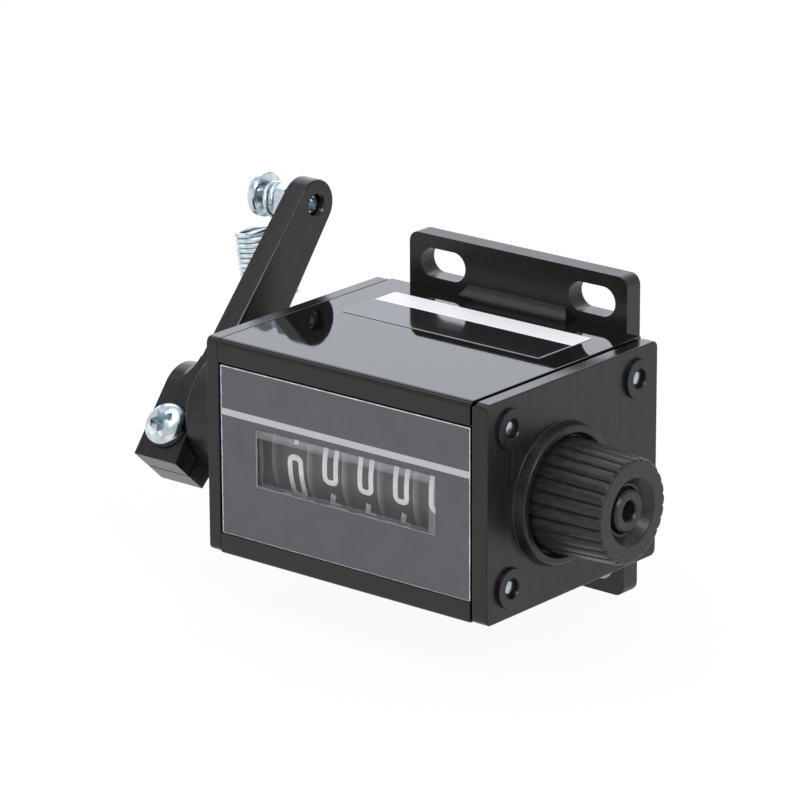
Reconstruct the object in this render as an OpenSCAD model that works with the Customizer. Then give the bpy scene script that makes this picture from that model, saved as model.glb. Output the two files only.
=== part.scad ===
// Lever-operated mechanical counter with a reset knob and a slotted rear flange.
// Millimetres. X runs along the counting shaft from the lever (-X) to the knob (+X),
// -Y faces the reader, +Z is up. The origin is the centre of the flange's rear face.

/* [Case] */
// Width over both end plates
case_w = 41.4; // [37:0.1:50]
// Depth from the front frame to the flange
case_d = 31.4; // [28:0.1:40]
// Height of the case
case_h = 26; // [23:0.1:34]
// Thickness of the top wall
top_wall = 1.8; // [1:0.1:2.4]
// Thickness of the bottom wall
bottom_wall = 1.4; // [0.8:0.1:1.6]
// Thickness of the front wall
front_wall = 1.8; // [1.4:0.1:2.2]
// Thickness of the back wall
back_wall = 2; // [1:0.1:2.6]
// Thickness of the lever-side end plate
left_plate_t = 1.7; // [1.2:0.1:2.5]
// Thickness of the knob-side end plate
right_plate_t = 2.2; // [1.6:0.1:3]
// Corner radius of case and end plates
corner_r = 0.8; // [0.3:0.1:1.2]

/* [Flange] */
// Width of the rear flange
flange_w = 32.4; // [31:0.1:38]
// Thickness of the rear flange
flange_t = 2.5; // [2:0.1:4]
// How far the flange stands above and below the case
flange_over = 6.5; // [6:0.1:10]
// Corner radius of the flange
flange_r = 1.3; // [0.5:0.1:2]
// Width of a mounting slot
slot_w = 3.6; // [3:0.1:4.5]
// End to end length of a mounting slot
slot_l = 6.8; // [5:0.1:8]
// Distance between the slots along the flange
slot_pitch = 22.2; // [20:0.1:23]
// Distance of the slot centres from the case's top and bottom
slot_out = 3.1; // [2.8:0.1:3.6]
// Height and depth of the ramp between flange and case
gusset = 1.4; // [0.6:0.1:2]
// Width of the ramp between the mounting slots
gusset_w = 16.4; // [8:0.1:20]
// Radius kept clear round a mounting screw's head
head_clear_r = 4.2; // [3.5:0.1:4.6]

/* [Front] */
// Height of the front frame's bar below the label
label_low = 2.45; // [2:0.05:4]
// Height of the front frame's bar above the label
label_high = 3; // [2:0.05:4]
// Gap between the label and the frame round it
label_gap = 0.2; // [0.05:0.05:0.4]
// Thickness of the label
label_t = 0.35; // [0.2:0.05:0.5]
// Depth of the label's face below the frame
label_sink = 0.15; // [0.05:0.05:0.3]
// Width of the clear window beyond the row of wheels
window_over = 0.45; // [0.2:0.05:1.2]
// Height of the clear window
window_h = 6.8; // [5:0.1:8]
// Height of the window's middle above the wheels' axis
window_up = 0.35; // [-0.5:0.05:1]
// Thickness of the lens behind the label
lens_t = 0.6; // [0.4:0.05:0.8]
// Rim of the lens that the label covers
lens_rim = 1.5; // [1:0.1:2]

/* [Sticker] */
// Width of the sticker on the top face
sticker_w = 29.4; // [15:0.1:34]
// Depth of the sticker
sticker_d = 10; // [6:0.5:12]
// Distance of the sticker from the back of the case
sticker_back = 4.3; // [2:0.1:8]
// Thickness of the sticker
sticker_t = 0.12; // [0.08:0.01:0.2]

/* [Counting wheels] */
// Gap between the front wall and the wheels
wheel_front = 0.8; // [0.6:0.05:1.5]
// Gap between the wheels and the case's floor
wheel_room = 0.6; // [0.4:0.05:1.5]
// Gap between the transfer pinions and the back wall
pinion_room = 1.19; // [0.3:0.01:2]
// Drop of the counting shaft below the case's middle
axis_drop = 0.6; // [0:0.05:1]
// Length of the collar that keeps the wheels together
cam_l = 2.6; // [2.2:0.1:4]
// Room between two rims for the transfer pinions
wheel_gap = 1.6; // [1.5:0.05:1.8]
// Thickness of a wheel's rim
rim_t = 1.1; // [0.8:0.1:1.4]
// Diameter of the drive and reset shafts
shaft_d = 5; // [4:0.1:5.4]
// Diameter of the reset shaft's pilot in the drive shaft
pilot_d = 2.4; // [1.6:0.1:3]
// Teeth of a wheel's carry gear
gear_teeth = 20; // [20:1:20]
// Teeth of a transfer pinion
pinion_teeth = 8; // [8:1:8]
// Diameter of the pinion shaft
pinion_shaft_d = 1.5; // [1.2:0.1:1.8]

/* [Drive] */
// Room for the return spring beside the lever-side plate
return_room = 4.1; // [3.6:0.1:4.5]
// Thickness of the drive plate
drive_plate_t = 1.6; // [1.2:0.1:2]
// Distance of the drive plate's edge inside the wheels' radius
plate_in = 0.2; // [0.1:0.05:0.4]
// Distance of the ratchet's tips inside the drive plate's edge
ratchet_in = 2.8; // [2.8:0.05:3.2]
// Depth of the ratchet's teeth
ratchet_depth = 1.1; // [0.6:0.1:1.4]
// Lever travel in degrees
stroke = 45; // [38:1:50]
// Wire of the return spring
return_wire = 0.7; // [0.5:0.05:0.8]
// Middle radius of the return spring
return_r = 4.3; // [3.8:0.1:5]

/* [Lever] */
// Distance of the lever's inner face from the end plate
lever_out = 9.2; // [6:0.1:12]
// Pivot to tip hole length of the lever
lever_len = 27.2; // [24:0.1:34]
// Rest angle of the lever above the horizontal
lever_angle = 50.2; // [45:0.1:60]
// Radius of the arm's round tip
arm_tip_r = 3.15; // [2.8:0.05:4]
// Thickness of the lever's arm
arm_t = 2.95; // [2.4:0.05:4]
// Radius of the lever's hub
lever_hub_r = 4.25; // [4.2:0.05:5]
// Length of hub and clamp along the shaft
lever_hub_l = 6.1; // [5.8:0.1:8]
// Reach of the clamp from the shaft's centre
clamp_reach = 9.7; // [9.2:0.1:11]
// Width of the clamp's end across its two jaws
clamp_w = 6.4; // [5.6:0.1:7.6]
// Angle between the clamp and the arm's line
clamp_skew = 2.7; // [0:0.1:5]
// Width of the clamp's slit
slit_w = 0.4; // [0.3:0.1:1]
// Distance of the clamp screw from the shaft's centre
clamp_screw_out = 5.5; // [5.3:0.1:6]
// Diameter of the clamp screw
clamp_screw_d = 3; // [2.5:0.1:3]
// Diameter of the screw heads
head_d = 5.5; // [4.8:0.1:5.8]
// Height of the clamp screw's head
clamp_head_h = 2.2; // [1.4:0.1:2.4]
// Diameter of the tip screw
tip_screw_d = 2.5; // [2:0.1:3]
// Height of the tip screw's head
tip_head_h = 1.7; // [1.2:0.1:2]
// Free length of the tip screw for the spring's loop
tip_room = 3; // [2.9:0.1:3.6]
// Depth of the tip screw's end below the arm's inner face
tip_sunk = 1.1; // [0.5:0.1:1.5]
// Width across flats of the nuts
nut_w = 5.5; // [5:0.1:5.5]
// Thickness of the nuts
nut_t = 1.8; // [1.6:0.1:2.4]

/* [Extension spring] */
// Wire of the extension spring
spring_wire = 0.55; // [0.4:0.05:0.6]
// Outer diameter of the coils
spring_od = 6.4; // [5:0.1:6.6]
// Distance from turn to turn
spring_pitch = 1; // [1:0.05:1.2]
// Number of turns between the end loops
spring_turns = 8; // [5:1:10]
// Middle radius of the end loops
spring_loop_r = 2.05; // [1.9:0.05:2.3]
// Drop from the top loop's centre to the first turn
spring_neck = 3.8; // [3.6:0.1:5]
// Tilt of the hanging spring towards the case
spring_tilt = 9.5; // [0:0.5:11]

/* [Reset knob] */
// Radius of the knob over its ribs at the base
knob_base_r = 6.75; // [6:0.05:8]
// Radius of the knob over its ribs at the face
knob_face_r = 6.15; // [5.5:0.05:7.5]
// Length of the knob from end plate to face
knob_l = 10.4; // [8:0.1:15]
// Number of ribs round the knob
knob_ribs = 26; // [16:1:32]
// Height of the ribs
rib_h = 0.5; // [0.3:0.05:0.7]
// Width of a rib
rib_w = 0.62; // [0.4:0.02:0.8]
// Radius of the bevelled recess in the knob's face
knob_dish_r = 3.95; // [3.2:0.05:4.4]
// Depth of the recess in the knob's face
knob_dish = 1.2; // [0.6:0.1:1.5]
// Depth of the shaft's end below the knob's face
shaft_sunk = 0.4; // [0.2:0.1:0.6]
// Diameter of the hole in the shaft's end
shaft_hole_d = 2.4; // [1.6:0.1:3]
// Depth of the hole in the shaft's end
shaft_hole_l = 6; // [2:0.5:8]
// Outer radius of the collar round the knob
collar_r = 8.35; // [8:0.05:10]
// Height of the collar
collar_h = 1.4; // [0.8:0.1:2.5]

/* [Tie rods] */
// Diameter of the tie rods
rod_d = 1.7; // [1.2:0.1:2]
// Distance of the rods from the front and the back of the case
rod_in_y = 4; // [3.6:0.1:4.4]
// Distance of the rods from the top and the underside
rod_in_z = 3.6; // [3.4:0.1:3.8]
// Diameter of the pads round the rods' ends
pad_d = 4.7; // [4:0.1:5.4]
// Height of the pads
pad_h = 0.9; // [0.5:0.1:1.5]
// Diameter of the recess in a pad
pad_hole_d = 2.3; // [2.1:0.1:2.8]
// Depth of a rod's end below its pad
rod_sunk = 0.5; // [0.2:0.1:0.8]

/* [Fits] */
// Radial clearance of a running fit
run_gap = 0.05; // [0.03:0.01:0.08]
// Radial clearance of a pressed or screwed fit
press_gap = 0.02; // [0.01:0.01:0.03]
// Side clearance between neighbouring moving pieces
side_gap = 0.15; // [0.1:0.01:0.2]

/* [Hidden] */
$fn = 48;

// Overshoot of a cut past the face that it opens
cut = 1;
// Length of the lips that centre the end plates in the case
lip_l = 1;
lip_gap = 0.1;
wheel_count = 5;
black = "#1c1c1e";
dark = "#2b2b2e";
steel = "#b9c1c6";
nylon = "#e4e1d6";

// Planes of the case
x_left = -case_w / 2;
x_right = case_w / 2;
x_in_left = x_left + left_plate_t;
x_in_right = x_right - right_plate_t;
y_back = -flange_t;
y_front = y_back - case_d;
z_top = case_h / 2;
z_bottom = -case_h / 2;
y_in_front = y_front + front_wall;
y_in_back = y_back - back_wall;
z_in_top = z_top - top_wall;
z_in_bottom = z_bottom + bottom_wall;

// Number wheels as large as the case's height and depth let them be
rim_clear = 0.25;
pinion_gap = pinion_shaft_d / 2 + rim_clear;
rise_share = 0.675;
tip_share = (pinion_teeth + 2 * rise_share) / (gear_teeth + pinion_teeth);
wheel_r_by_height = case_h / 2 - axis_drop - bottom_wall - wheel_room;
wheel_depth = case_d - front_wall - back_wall - wheel_front - pinion_room;
wheel_r_by_depth = (wheel_depth - (1 + tip_share) * pinion_gap) / (2 + tip_share);
wheel_r = min(wheel_r_by_height, wheel_r_by_depth);

// Counting shaft and what sits along it
axis_y = y_in_front + wheel_front + wheel_r;
axis_z = -axis_drop;
floor_v = z_in_bottom - axis_z;
x_drive = x_in_left + return_room;
x_row = x_drive + drive_plate_t;
shaft_r = shaft_d / 2;
bore_r = shaft_r + run_gap;
right_boss_l = 1.8;
right_boss_r = 4.6;
clip_t = 0.8;
clip_depth = 0.4;
clip_w = 1.2;
clip_r = shaft_r + clip_w;
cam_r = 5;
cam_gap = 0.05;
x_clip = x_in_right - right_boss_l - side_gap - clip_t;
x_row_end = x_clip - cam_gap - cam_l - side_gap;
wheel_pitch = (x_row_end - x_row) / wheel_count;
rim_w = wheel_pitch - wheel_gap;
gear_t = (wheel_gap - side_gap) / 2;

// Carry gears: 20 teeth on the driven wheel, 8 on the pinion, tooth sizes as shares of the module
pinion_dist = wheel_r + pinion_gap;
gear_module = 2 * pinion_dist / (gear_teeth + pinion_teeth);
gear_pitch_r = gear_module * gear_teeth / 2;
pinion_pitch_r = gear_module * pinion_teeth / 2;
tooth_rise = rise_share * gear_module;
tooth_drop = 1.044 * gear_module;
gear_root_w = 1.596 * gear_module;
gear_tip_w = 0.675 * gear_module;
pinion_drop = 0.921 * gear_module;
pinion_root_w = 1.412 * gear_module;
pinion_tip_w = 0.614 * gear_module;
tooth_sink = 0.3;
pinion_tip_r = pinion_pitch_r + tooth_rise;
carry_ring_r = pinion_dist - pinion_tip_r - 2 * side_gap;

// Drive: pawl plane between the drive plate and the units wheel's rim
pawl_gap = 0.1;
pawl_x = x_row + pawl_gap;
pawl_t = wheel_gap - 2 * pawl_gap;
pawl_pin_d = 1.4;
drive_plate_r = wheel_r - plate_in;
ratchet_r = drive_plate_r - ratchet_in;
pivot_in = 1.45;
pawl_pivot_r = drive_plate_r - pivot_in;
pawl_pivot_angle = 48;
pawl_boss_r = 1.15;
pawl_reach = 53;
pawl_clear = 0.15;
leaf_t = 0.25;
leaf_in = 0.45;
leaf_r = drive_plate_r - leaf_in;
leaf_start = 12;
leaf_foot = 1.5;
stop_d = 1.8;
stop_in = 2.6;
stop_r = drive_plate_r - stop_in;
stop_angle = 240;

// Lever
x_lever = x_left - lever_out;
x_hub_end = x_lever - lever_hub_l;
boss_r = 7.15;
boss_gap = 0.25;
tip_x = x_lever - arm_t;
loop_x = tip_x - nut_t - tip_room / 2;
hang_gap = 0.1;
loop_drop = spring_loop_r - spring_wire / 2 - tip_screw_d / 2 - hang_gap;
seat_rise = 0.1;
seat_y = clamp_w / 2 + seat_rise;
seat_gap = 0.1;
nut_corner_r = nut_w / 2 / cos(30);

// Reset knob
knob_gap = 0.3;
x_face = x_right + knob_l;
x_shaft_end = x_face - shaft_sunk;

// Point at a radius and an angle
function polar(r, a) = [r * cos(a), r * sin(a)];
function unit(v) = v / norm(v);

// Outline of a spur gear with straight flanks
function gear_points(n, root, tip, root_w, tip_w, phase) = [
    for (i = [0 : n - 1], p = [[root, -root_w], [tip, -tip_w], [tip, tip_w], [root, root_w]])
        polar(p[0], phase + i * 360 / n + asin(p[1] / 2 / p[0]))
];

// Rectangle with round corners, centred
module rounded_rect(w, h, r) {
    square([w - 2 * r, h], center = true);
    square([w, h - 2 * r], center = true);
    for (sx = [-1, 1], sy = [-1, 1])
        translate([sx * (w / 2 - r), sy * (h / 2 - r)]) circle(r);
}

// Slot along X, centred
module slot_shape(l, w) {
    square([l - w, w], center = true);
    for (s = [-1, 1]) translate([s * (l - w) / 2, 0]) circle(d = w);
}

// Drawing in (Y, Z) made a slab from x0 along +X
module slab_x(x0, t) {
    translate([x0, 0, 0]) rotate([90, 0, 90]) linear_extrude(t) children();
}

// Drawing in (X, Z) made a slab from y0 along +Y
module slab_y(y0, t) {
    translate([0, y0 + t, 0]) rotate([90, 0, 0]) linear_extrude(t) children();
}

// Children drawn round the counting shaft: local x, y, z lie along Y, Z, X
module along_shaft(x0) {
    translate([x0, axis_y, axis_z]) rotate([90, 0, 90]) children();
}

// Outline of the case seen along the shaft
module case_outline() {
    translate([(y_front + y_back) / 2, 0]) rounded_rect(case_d, case_h, corner_r);
}

// Hollow of the case seen along the shaft, drawn in by a gap
module cavity_outline(gap) {
    translate([y_in_front + gap, z_in_bottom + gap])
        square([y_in_back - y_in_front - 2 * gap, z_in_top - z_in_bottom - 2 * gap]);
}

// Children at the four tie rods, drawn in (Y, Z)
module at_rods() {
    for (y = [y_front + rod_in_y, y_back - rod_in_y], z = [z_bottom + rod_in_z, z_top - rod_in_z])
        translate([y, z]) children();
}

// Places along the front
label_x0 = x_in_left + label_gap;
label_w = x_in_right - x_in_left - 2 * label_gap;
label_z0 = z_bottom + label_low;
label_h = case_h - label_low - label_high;
label_y = y_front + label_sink;
lens_y = label_y + label_t;
window_x = (x_row + x_row_end) / 2;
window_w = x_row_end - x_row + window_over;
window_z = axis_z + window_up;

// Window opening, grown by a margin, in (X, Z)
module window_shape(grow) {
    translate([window_x, window_z]) square([window_w + 2 * grow, window_h + 2 * grow], center = true);
}

module flange_blank() {
    slab_y(y_back, flange_t) rounded_rect(flange_w, case_h + 2 * flange_over, flange_r);
    for (side = [0, 1]) mirror([0, 0, side]) slab_x(-gusset_w / 2, gusset_w)
        polygon([[y_back, z_top], [y_back - gusset, z_top], [y_back, z_top + gusset]]);
}

// Mounting slots, with room for the screw heads in front of the flange
module flange_cuts() {
    for (sx = [-1, 1], sz = [-1, 1]) {
        centre = [sx * slot_pitch / 2, sz * (case_h / 2 + slot_out)];
        slab_y(y_back - cut, flange_t + 2 * cut) translate(centre) slot_shape(slot_l, slot_w);
        intersection() {
            slab_y(y_back - gusset - cut, gusset + cut) translate(centre) circle(head_clear_r);
            slab_y(y_back - gusset - cut, gusset + cut)
                translate([-flange_w / 2, sz > 0 ? z_top : z_bottom - flange_over])
                    square([flange_w, flange_over]);
        }
    }
}

module case() {
    color(black) difference() {
        union() {
            slab_x(x_in_left, x_in_right - x_in_left) case_outline();
            flange_blank();
        }
        slab_x(x_in_left - cut, x_in_right - x_in_left + 2 * cut) cavity_outline(0);
        slab_y(y_front - cut, cut + label_sink + label_t)
            translate([x_in_left - cut, label_z0 - label_gap])
                square([x_in_right - x_in_left + 2 * cut, label_h + 2 * label_gap]);
        slab_y(y_front - cut, cut + label_sink + label_t + lens_t) window_shape(lens_rim + label_gap);
        slab_y(y_front - cut, front_wall + 2 * cut) window_shape(side_gap);
        flange_cuts();
    }
}

// End plate blank with a register lip that fits the case's hollow
module plate_blank(x0, t, lip_x) {
    slab_x(x0, t) case_outline();
    slab_x(lip_x, lip_l) difference() {
        cavity_outline(lip_gap);
        cavity_outline(lip_gap + lip_l);
    }
}

module left_end_plate() {
    color(dark) difference() {
        union() {
            plate_blank(x_left, left_plate_t, x_in_left);
            along_shaft(x_lever + boss_gap) cylinder(r = boss_r, h = lever_out - boss_gap);
            along_shaft(x_in_left) translate(polar(stop_r, stop_angle))
                cylinder(d = stop_d, h = return_room + drive_plate_t - side_gap);
        }
        along_shaft(x_lever) cylinder(r = bore_r, h = lever_out + left_plate_t + cut);
        slab_x(x_left - cut, left_plate_t + 2 * cut) at_rods() circle(d = rod_d + 2 * press_gap);
        along_shaft(x_left + left_plate_t / 2) translate([pinion_dist, 0])
            cylinder(d = pinion_shaft_d + 2 * press_gap, h = left_plate_t);
    }
}

module right_end_plate() {
    collar_draft = 0.25;
    collar_gap = 0.25;
    color(dark) difference() {
        union() {
            plate_blank(x_in_right, right_plate_t, x_in_right - lip_l);
            slab_x(x_right, pad_h) at_rods() circle(d = pad_d);
            along_shaft(x_right) cylinder(r1 = collar_r, r2 = collar_r - collar_draft, h = collar_h);
            along_shaft(x_in_right - right_boss_l) cylinder(r = right_boss_r, h = right_boss_l);
        }
        along_shaft(x_right) cylinder(r = knob_base_r + collar_gap, h = collar_h + cut);
        along_shaft(x_in_right - right_boss_l - cut)
            cylinder(r = bore_r, h = right_boss_l + right_plate_t + 2 * cut);
        slab_x(x_in_right - cut, right_plate_t + pad_h + 2 * cut)
            at_rods() circle(d = rod_d + 2 * press_gap);
        slab_x(x_right, pad_h + cut) at_rods() circle(d = pad_hole_d);
        along_shaft(x_in_right - cut) translate([pinion_dist, 0])
            cylinder(d = pinion_shaft_d + 2 * press_gap, h = right_plate_t / 2 + cut);
    }
}

// Headed on the lever side, sunk in the pads on the knob side
module tie_rods() {
    rod_head_h = 0.7;
    rod_head_d = 3;
    color(steel) {
        slab_x(x_left - rod_head_h, rod_head_h) at_rods() circle(d = rod_head_d);
        slab_x(x_left, case_w + pad_h - rod_sunk) at_rods() circle(d = rod_d);
    }
}

module face_label() {
    color("#69696c") slab_y(label_y, label_t) difference() {
        translate([label_x0, label_z0]) square([label_w, label_h]);
        window_shape(press_gap);
    }
}

// Clear plate behind the label, with a pad that fills the label's window
module window_lens() {
    color("#dfe6ea", 0.4) {
        slab_y(lens_y, lens_t) window_shape(lens_rim);
        slab_y(label_y, label_t) window_shape(0);
    }
}

module top_sticker() {
    color("#2a2a2c") translate([-sticker_w / 2, y_back - sticker_back - sticker_d, z_top])
        cube([sticker_w, sticker_d, sticker_t]);
}

// Number wheel k: carry gear on its left, digit rim, carry ring with two teeth on its right
module number_wheel(k) {
    color(dark) along_shaft(x_row + k * wheel_pitch) difference() {
        union() {
            translate([0, 0, wheel_gap]) cylinder(r = wheel_r, h = rim_w, $fn = 96);
            if (k > 0) translate([0, 0, wheel_gap - gear_t]) linear_extrude(gear_t)
                polygon(gear_points(gear_teeth, gear_pitch_r - tooth_drop, gear_pitch_r + tooth_rise,
                    gear_root_w, gear_tip_w, 180 / gear_teeth));
            if (k < wheel_count - 1) translate([0, 0, wheel_pitch]) carry_ring();
        }
        translate([0, 0, -cut]) cylinder(r = bore_r, h = wheel_pitch + gear_t + 2 * cut);
        translate([0, 0, wheel_gap + rim_w / 3]) difference() {
            cylinder(r = wheel_r - rim_t, h = rim_w + cut);
            translate([0, 0, -cut]) cylinder(r = carry_ring_r, h = rim_w + 3 * cut);
        }
    }
}

// Ring that holds the pinion still, notched either side of its two carry teeth
module carry_ring() {
    notch_angle = 14;
    notch_r = 0.6;
    difference() {
        cylinder(r = carry_ring_r, h = gear_t);
        for (a = [-notch_angle, 0, notch_angle]) rotate(90 + a) translate([carry_ring_r, 0, -cut])
            cylinder(r = notch_r, h = gear_t + 2 * cut);
    }
}

module units_wheel() number_wheel(0);
module tens_wheel() number_wheel(1);
module hundreds_wheel() number_wheel(2);
module thousands_wheel() number_wheel(3);
module ten_thousands_wheel() number_wheel(4);

// Eight teeth in the driven gear's plane, every other one running on over the carry ring
module transfer_pinion(k) {
    pinion_root_r = pinion_pitch_r - pinion_drop;
    tooth_root_r = pinion_root_r - tooth_sink;
    end_gap = side_gap / 2;
    color(nylon) along_shaft(x_row + k * wheel_pitch) translate([pinion_dist, 0, 0]) difference() {
        union() {
            translate([0, 0, end_gap]) linear_extrude(wheel_gap - 2 * end_gap)
                polygon(gear_points(pinion_teeth / 2, tooth_root_r, pinion_tip_r,
                    pinion_root_w, pinion_tip_w, 360 / pinion_teeth));
            translate([0, 0, wheel_gap - gear_t]) linear_extrude(gear_t - end_gap)
                polygon(gear_points(pinion_teeth, tooth_root_r, pinion_tip_r,
                    pinion_root_w, pinion_tip_w, 0));
            translate([0, 0, end_gap]) cylinder(r = pinion_root_r, h = wheel_gap - 2 * end_gap);
        }
        translate([0, 0, -cut]) cylinder(r = pinion_shaft_d / 2 + run_gap, h = wheel_gap + 2 * cut);
    }
}

module transfer_pinion_1() transfer_pinion(1);
module transfer_pinion_2() transfer_pinion(2);
module transfer_pinion_3() transfer_pinion(3);
module transfer_pinion_4() transfer_pinion(4);

module pinion_shaft() {
    x0 = x_left + left_plate_t / 2;
    x1 = x_in_right + right_plate_t / 2;
    color(steel) along_shaft(x0) translate([pinion_dist, 0]) cylinder(d = pinion_shaft_d, h = x1 - x0);
}

// Ten saw teeth, driven by the pawl in the counting direction
module units_ratchet() {
    teeth = 10;
    color(nylon) along_shaft(x_row + wheel_gap - gear_t) difference() {
        linear_extrude(gear_t) polygon([
            for (i = [0 : teeth - 1], r = [ratchet_r - ratchet_depth, ratchet_r]) polar(r, i * 360 / teeth)
        ]);
        translate([0, 0, -cut]) cylinder(r = bore_r, h = gear_t + 2 * cut);
    }
}

// Outline of a leaf from a foot on the case's floor up to its tip
module floor_leaf(tip, slope) {
    foot_l = 3;
    foot = [tip[0] + slope, floor_v];
    polygon([
        tip, foot, foot + [foot_l, 0], foot + [foot_l, leaf_t], foot + [leaf_t, leaf_t], tip + [leaf_t, 0]
    ]);
}

// Leaf on the case's floor whose tip holds the ratchet
module holding_spring() {
    tip_angle = -68;
    slope = 3.4;
    tip = polar(ratchet_r + pawl_clear, tip_angle);
    color(steel) along_shaft(pawl_x) linear_extrude(pawl_t) floor_leaf(tip, slope);
}

// Leaf on the case's floor that clicks into the reset cam's notch
module detent_spring() {
    leaf_w = 1.6;
    slope = 2.4;
    color(steel) along_shaft(x_row_end + 2 * side_gap) linear_extrude(leaf_w)
        floor_leaf([0, -cam_r - pawl_clear], slope);
}

// Lever shaft, drilled at its inner end for the reset shaft's pilot
module drive_shaft() {
    bore_l = 2;
    color(steel) difference() {
        along_shaft(x_hub_end) cylinder(d = shaft_d, h = x_row - x_hub_end);
        along_shaft(x_drive - bore_l) cylinder(d = pilot_d + 2 * run_gap, h = drive_plate_t + bore_l + cut);
    }
}

// Disc on the lever shaft that carries the pawl, with a curved slot for the stop peg
module drive_plate() {
    slot_gap = 0.2;
    end_angle = 12;
    color(dark) along_shaft(x_drive) difference() {
        cylinder(r = drive_plate_r, h = drive_plate_t);
        translate([0, 0, -cut]) cylinder(r = shaft_r + press_gap, h = drive_plate_t + 2 * cut);
        translate(polar(pawl_pivot_r, pawl_pivot_angle)) translate([0, 0, -cut])
            cylinder(d = pawl_pin_d + 2 * press_gap, h = drive_plate_t + 2 * cut);
        translate([0, 0, -cut]) rotate(stop_angle - stroke - end_angle)
            rotate_extrude(angle = stroke + 2 * end_angle)
                translate([stop_r - stop_d / 2 - slot_gap, 0])
                    square([stop_d + 2 * slot_gap, drive_plate_t + 2 * cut]);
        rotate(pawl_pivot_angle + leaf_start)
            translate([leaf_r - press_gap, -leaf_foot / 2 - press_gap, drive_plate_t / 2])
                cube([leaf_t + 2 * press_gap, leaf_foot + 2 * press_gap, drive_plate_t]);
    }
}

// Pawl held clear of the teeth at rest, so that the knob can turn the wheels back
module drive_pawl() {
    belly_rise = 0.35;
    back_rise = 0.75;
    nose_h = 1.05;
    nose_angle = 5;
    inner = ratchet_r + pawl_clear;
    belly = inner + belly_rise;
    back_r = pawl_pivot_r + back_rise;
    nose_r = inner + nose_h;
    tip_angle = pawl_pivot_angle + pawl_reach;
    middle = pawl_pivot_angle + pawl_reach / 2;
    color(nylon) along_shaft(pawl_x) difference() {
        linear_extrude(pawl_t) {
            polygon([
                polar(back_r, pawl_pivot_angle + nose_angle), polar((back_r + nose_r) / 2, middle),
                polar(nose_r, tip_angle - nose_angle), polar(inner, tip_angle),
                polar(inner, tip_angle - nose_angle), polar(belly, middle),
                polar(belly, pawl_pivot_angle + nose_angle)
            ]);
            translate(polar(pawl_pivot_r, pawl_pivot_angle)) circle(pawl_boss_r);
        }
        translate(polar(pawl_pivot_r, pawl_pivot_angle)) translate([0, 0, -cut])
            cylinder(d = pawl_pin_d + 2 * run_gap, h = pawl_t + 2 * cut);
    }
}

module pawl_pin() {
    color(steel) along_shaft(x_drive) translate(polar(pawl_pivot_r, pawl_pivot_angle))
        cylinder(d = pawl_pin_d, h = drive_plate_t + pawl_gap + pawl_t);
}

// Curved leaf behind the pawl, its foot let into the drive plate
module pawl_spring() {
    leaf_angle = 38;
    color(steel) along_shaft(x_row) rotate(pawl_pivot_angle + leaf_start) {
        translate([0, 0, pawl_gap]) rotate_extrude(angle = leaf_angle) translate([leaf_r, 0])
            square([leaf_t, pawl_t]);
        translate([leaf_r, -leaf_foot / 2, -drive_plate_t / 2])
            cube([leaf_t, leaf_foot, drive_plate_t / 2 + pawl_gap + pawl_t]);
    }
}

// Middle points, tangents and turning normals of a swept wire
function tangents(p) = [
    for (i = [0 : len(p) - 1]) unit(p[min(i + 1, len(p) - 1)] - p[max(i - 1, 0)])
];
function square_to(n, t) = unit(n - (n * t) * t);
function normals(t, n0) = [
    for (i = 0, n = square_to(n0, t[0]); i < len(t); i = i + 1, n = square_to(n, t[min(i, len(t) - 1)])) n
];

// Round wire swept along points, as one closed tube of triangles
module wire_tube(points, d, start) {
    sides = 6;
    t = tangents(points);
    n = normals(t, start);
    last = len(points) - 1;
    ring = [
        for (i = [0 : last], s = [0 : sides - 1])
            points[i] + d / 2 * (n[i] * cos(s * 360 / sides) + cross(t[i], n[i]) * sin(s * 360 / sides))
    ];
    walls = [
        for (i = [0 : last - 1], s = [0 : sides - 1], h = [0, 1])
            let (a = i * sides + s, b = i * sides + (s + 1) % sides)
                h == 0 ? [a, a + sides, b] : [b, a + sides, b + sides]
    ];
    first_cap = [for (s = [1 : sides - 2]) [0, s, s + 1]];
    last_cap = [for (s = [1 : sides - 2]) [last * sides, last * sides + s + 1, last * sides + s]];
    polyhedron(ring, concat(walls, first_cap, last_cap));
}

// Least gap of a wire to itself, between points further apart along it than skip
function least_gap(p, d, skip) = min([
    for (i = [0 : len(p) - 2], j = [i + skip : 1 : len(p) - 1]) norm(p[i] - p[j]) - d
]);

// Extension spring: local x lies along the tip screw, local z hangs down the spring
curl_steps = 8;
loop_steps = 24;
loop_turn = 540;
loop_w = 1.5;
bend_l = 1.8;
bend_start = -45;
coil_start = 90;
spring_r = (spring_od - spring_wire) / 2;
spring_l = spring_turns * spring_pitch;
function smooth(u) = u * u * (3 - 2 * u);
function mix(a, b, u) = a * (1 - u) + b * u;
function on_coil(a, z) = [-spring_r + spring_r * cos(a), spring_r * sin(a), z];
// One and a half turns round the screw, down to the back of the loop
function end_loop(u) = let (a = 360 - u * loop_turn)
    [loop_w * (0.5 - u), spring_loop_r * cos(a), spring_loop_r * sin(a)];
// The wire runs down from the loop and bends over into the first turn
function neck(u) = let (z = spring_neck - bend_l * (1 - u))
    mix([-loop_w / 2, -spring_loop_r, z], on_coil(mix(bend_start, coil_start, u), z), smooth(u));
function coil(u) = on_coil(coil_start + u * spring_turns * 360, spring_neck + u * spring_l);
spring_top = concat(
    [for (i = [0 : loop_steps]) end_loop(i / loop_steps)],
    [for (i = [0 : curl_steps - 1]) neck(i / curl_steps)]
);
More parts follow.
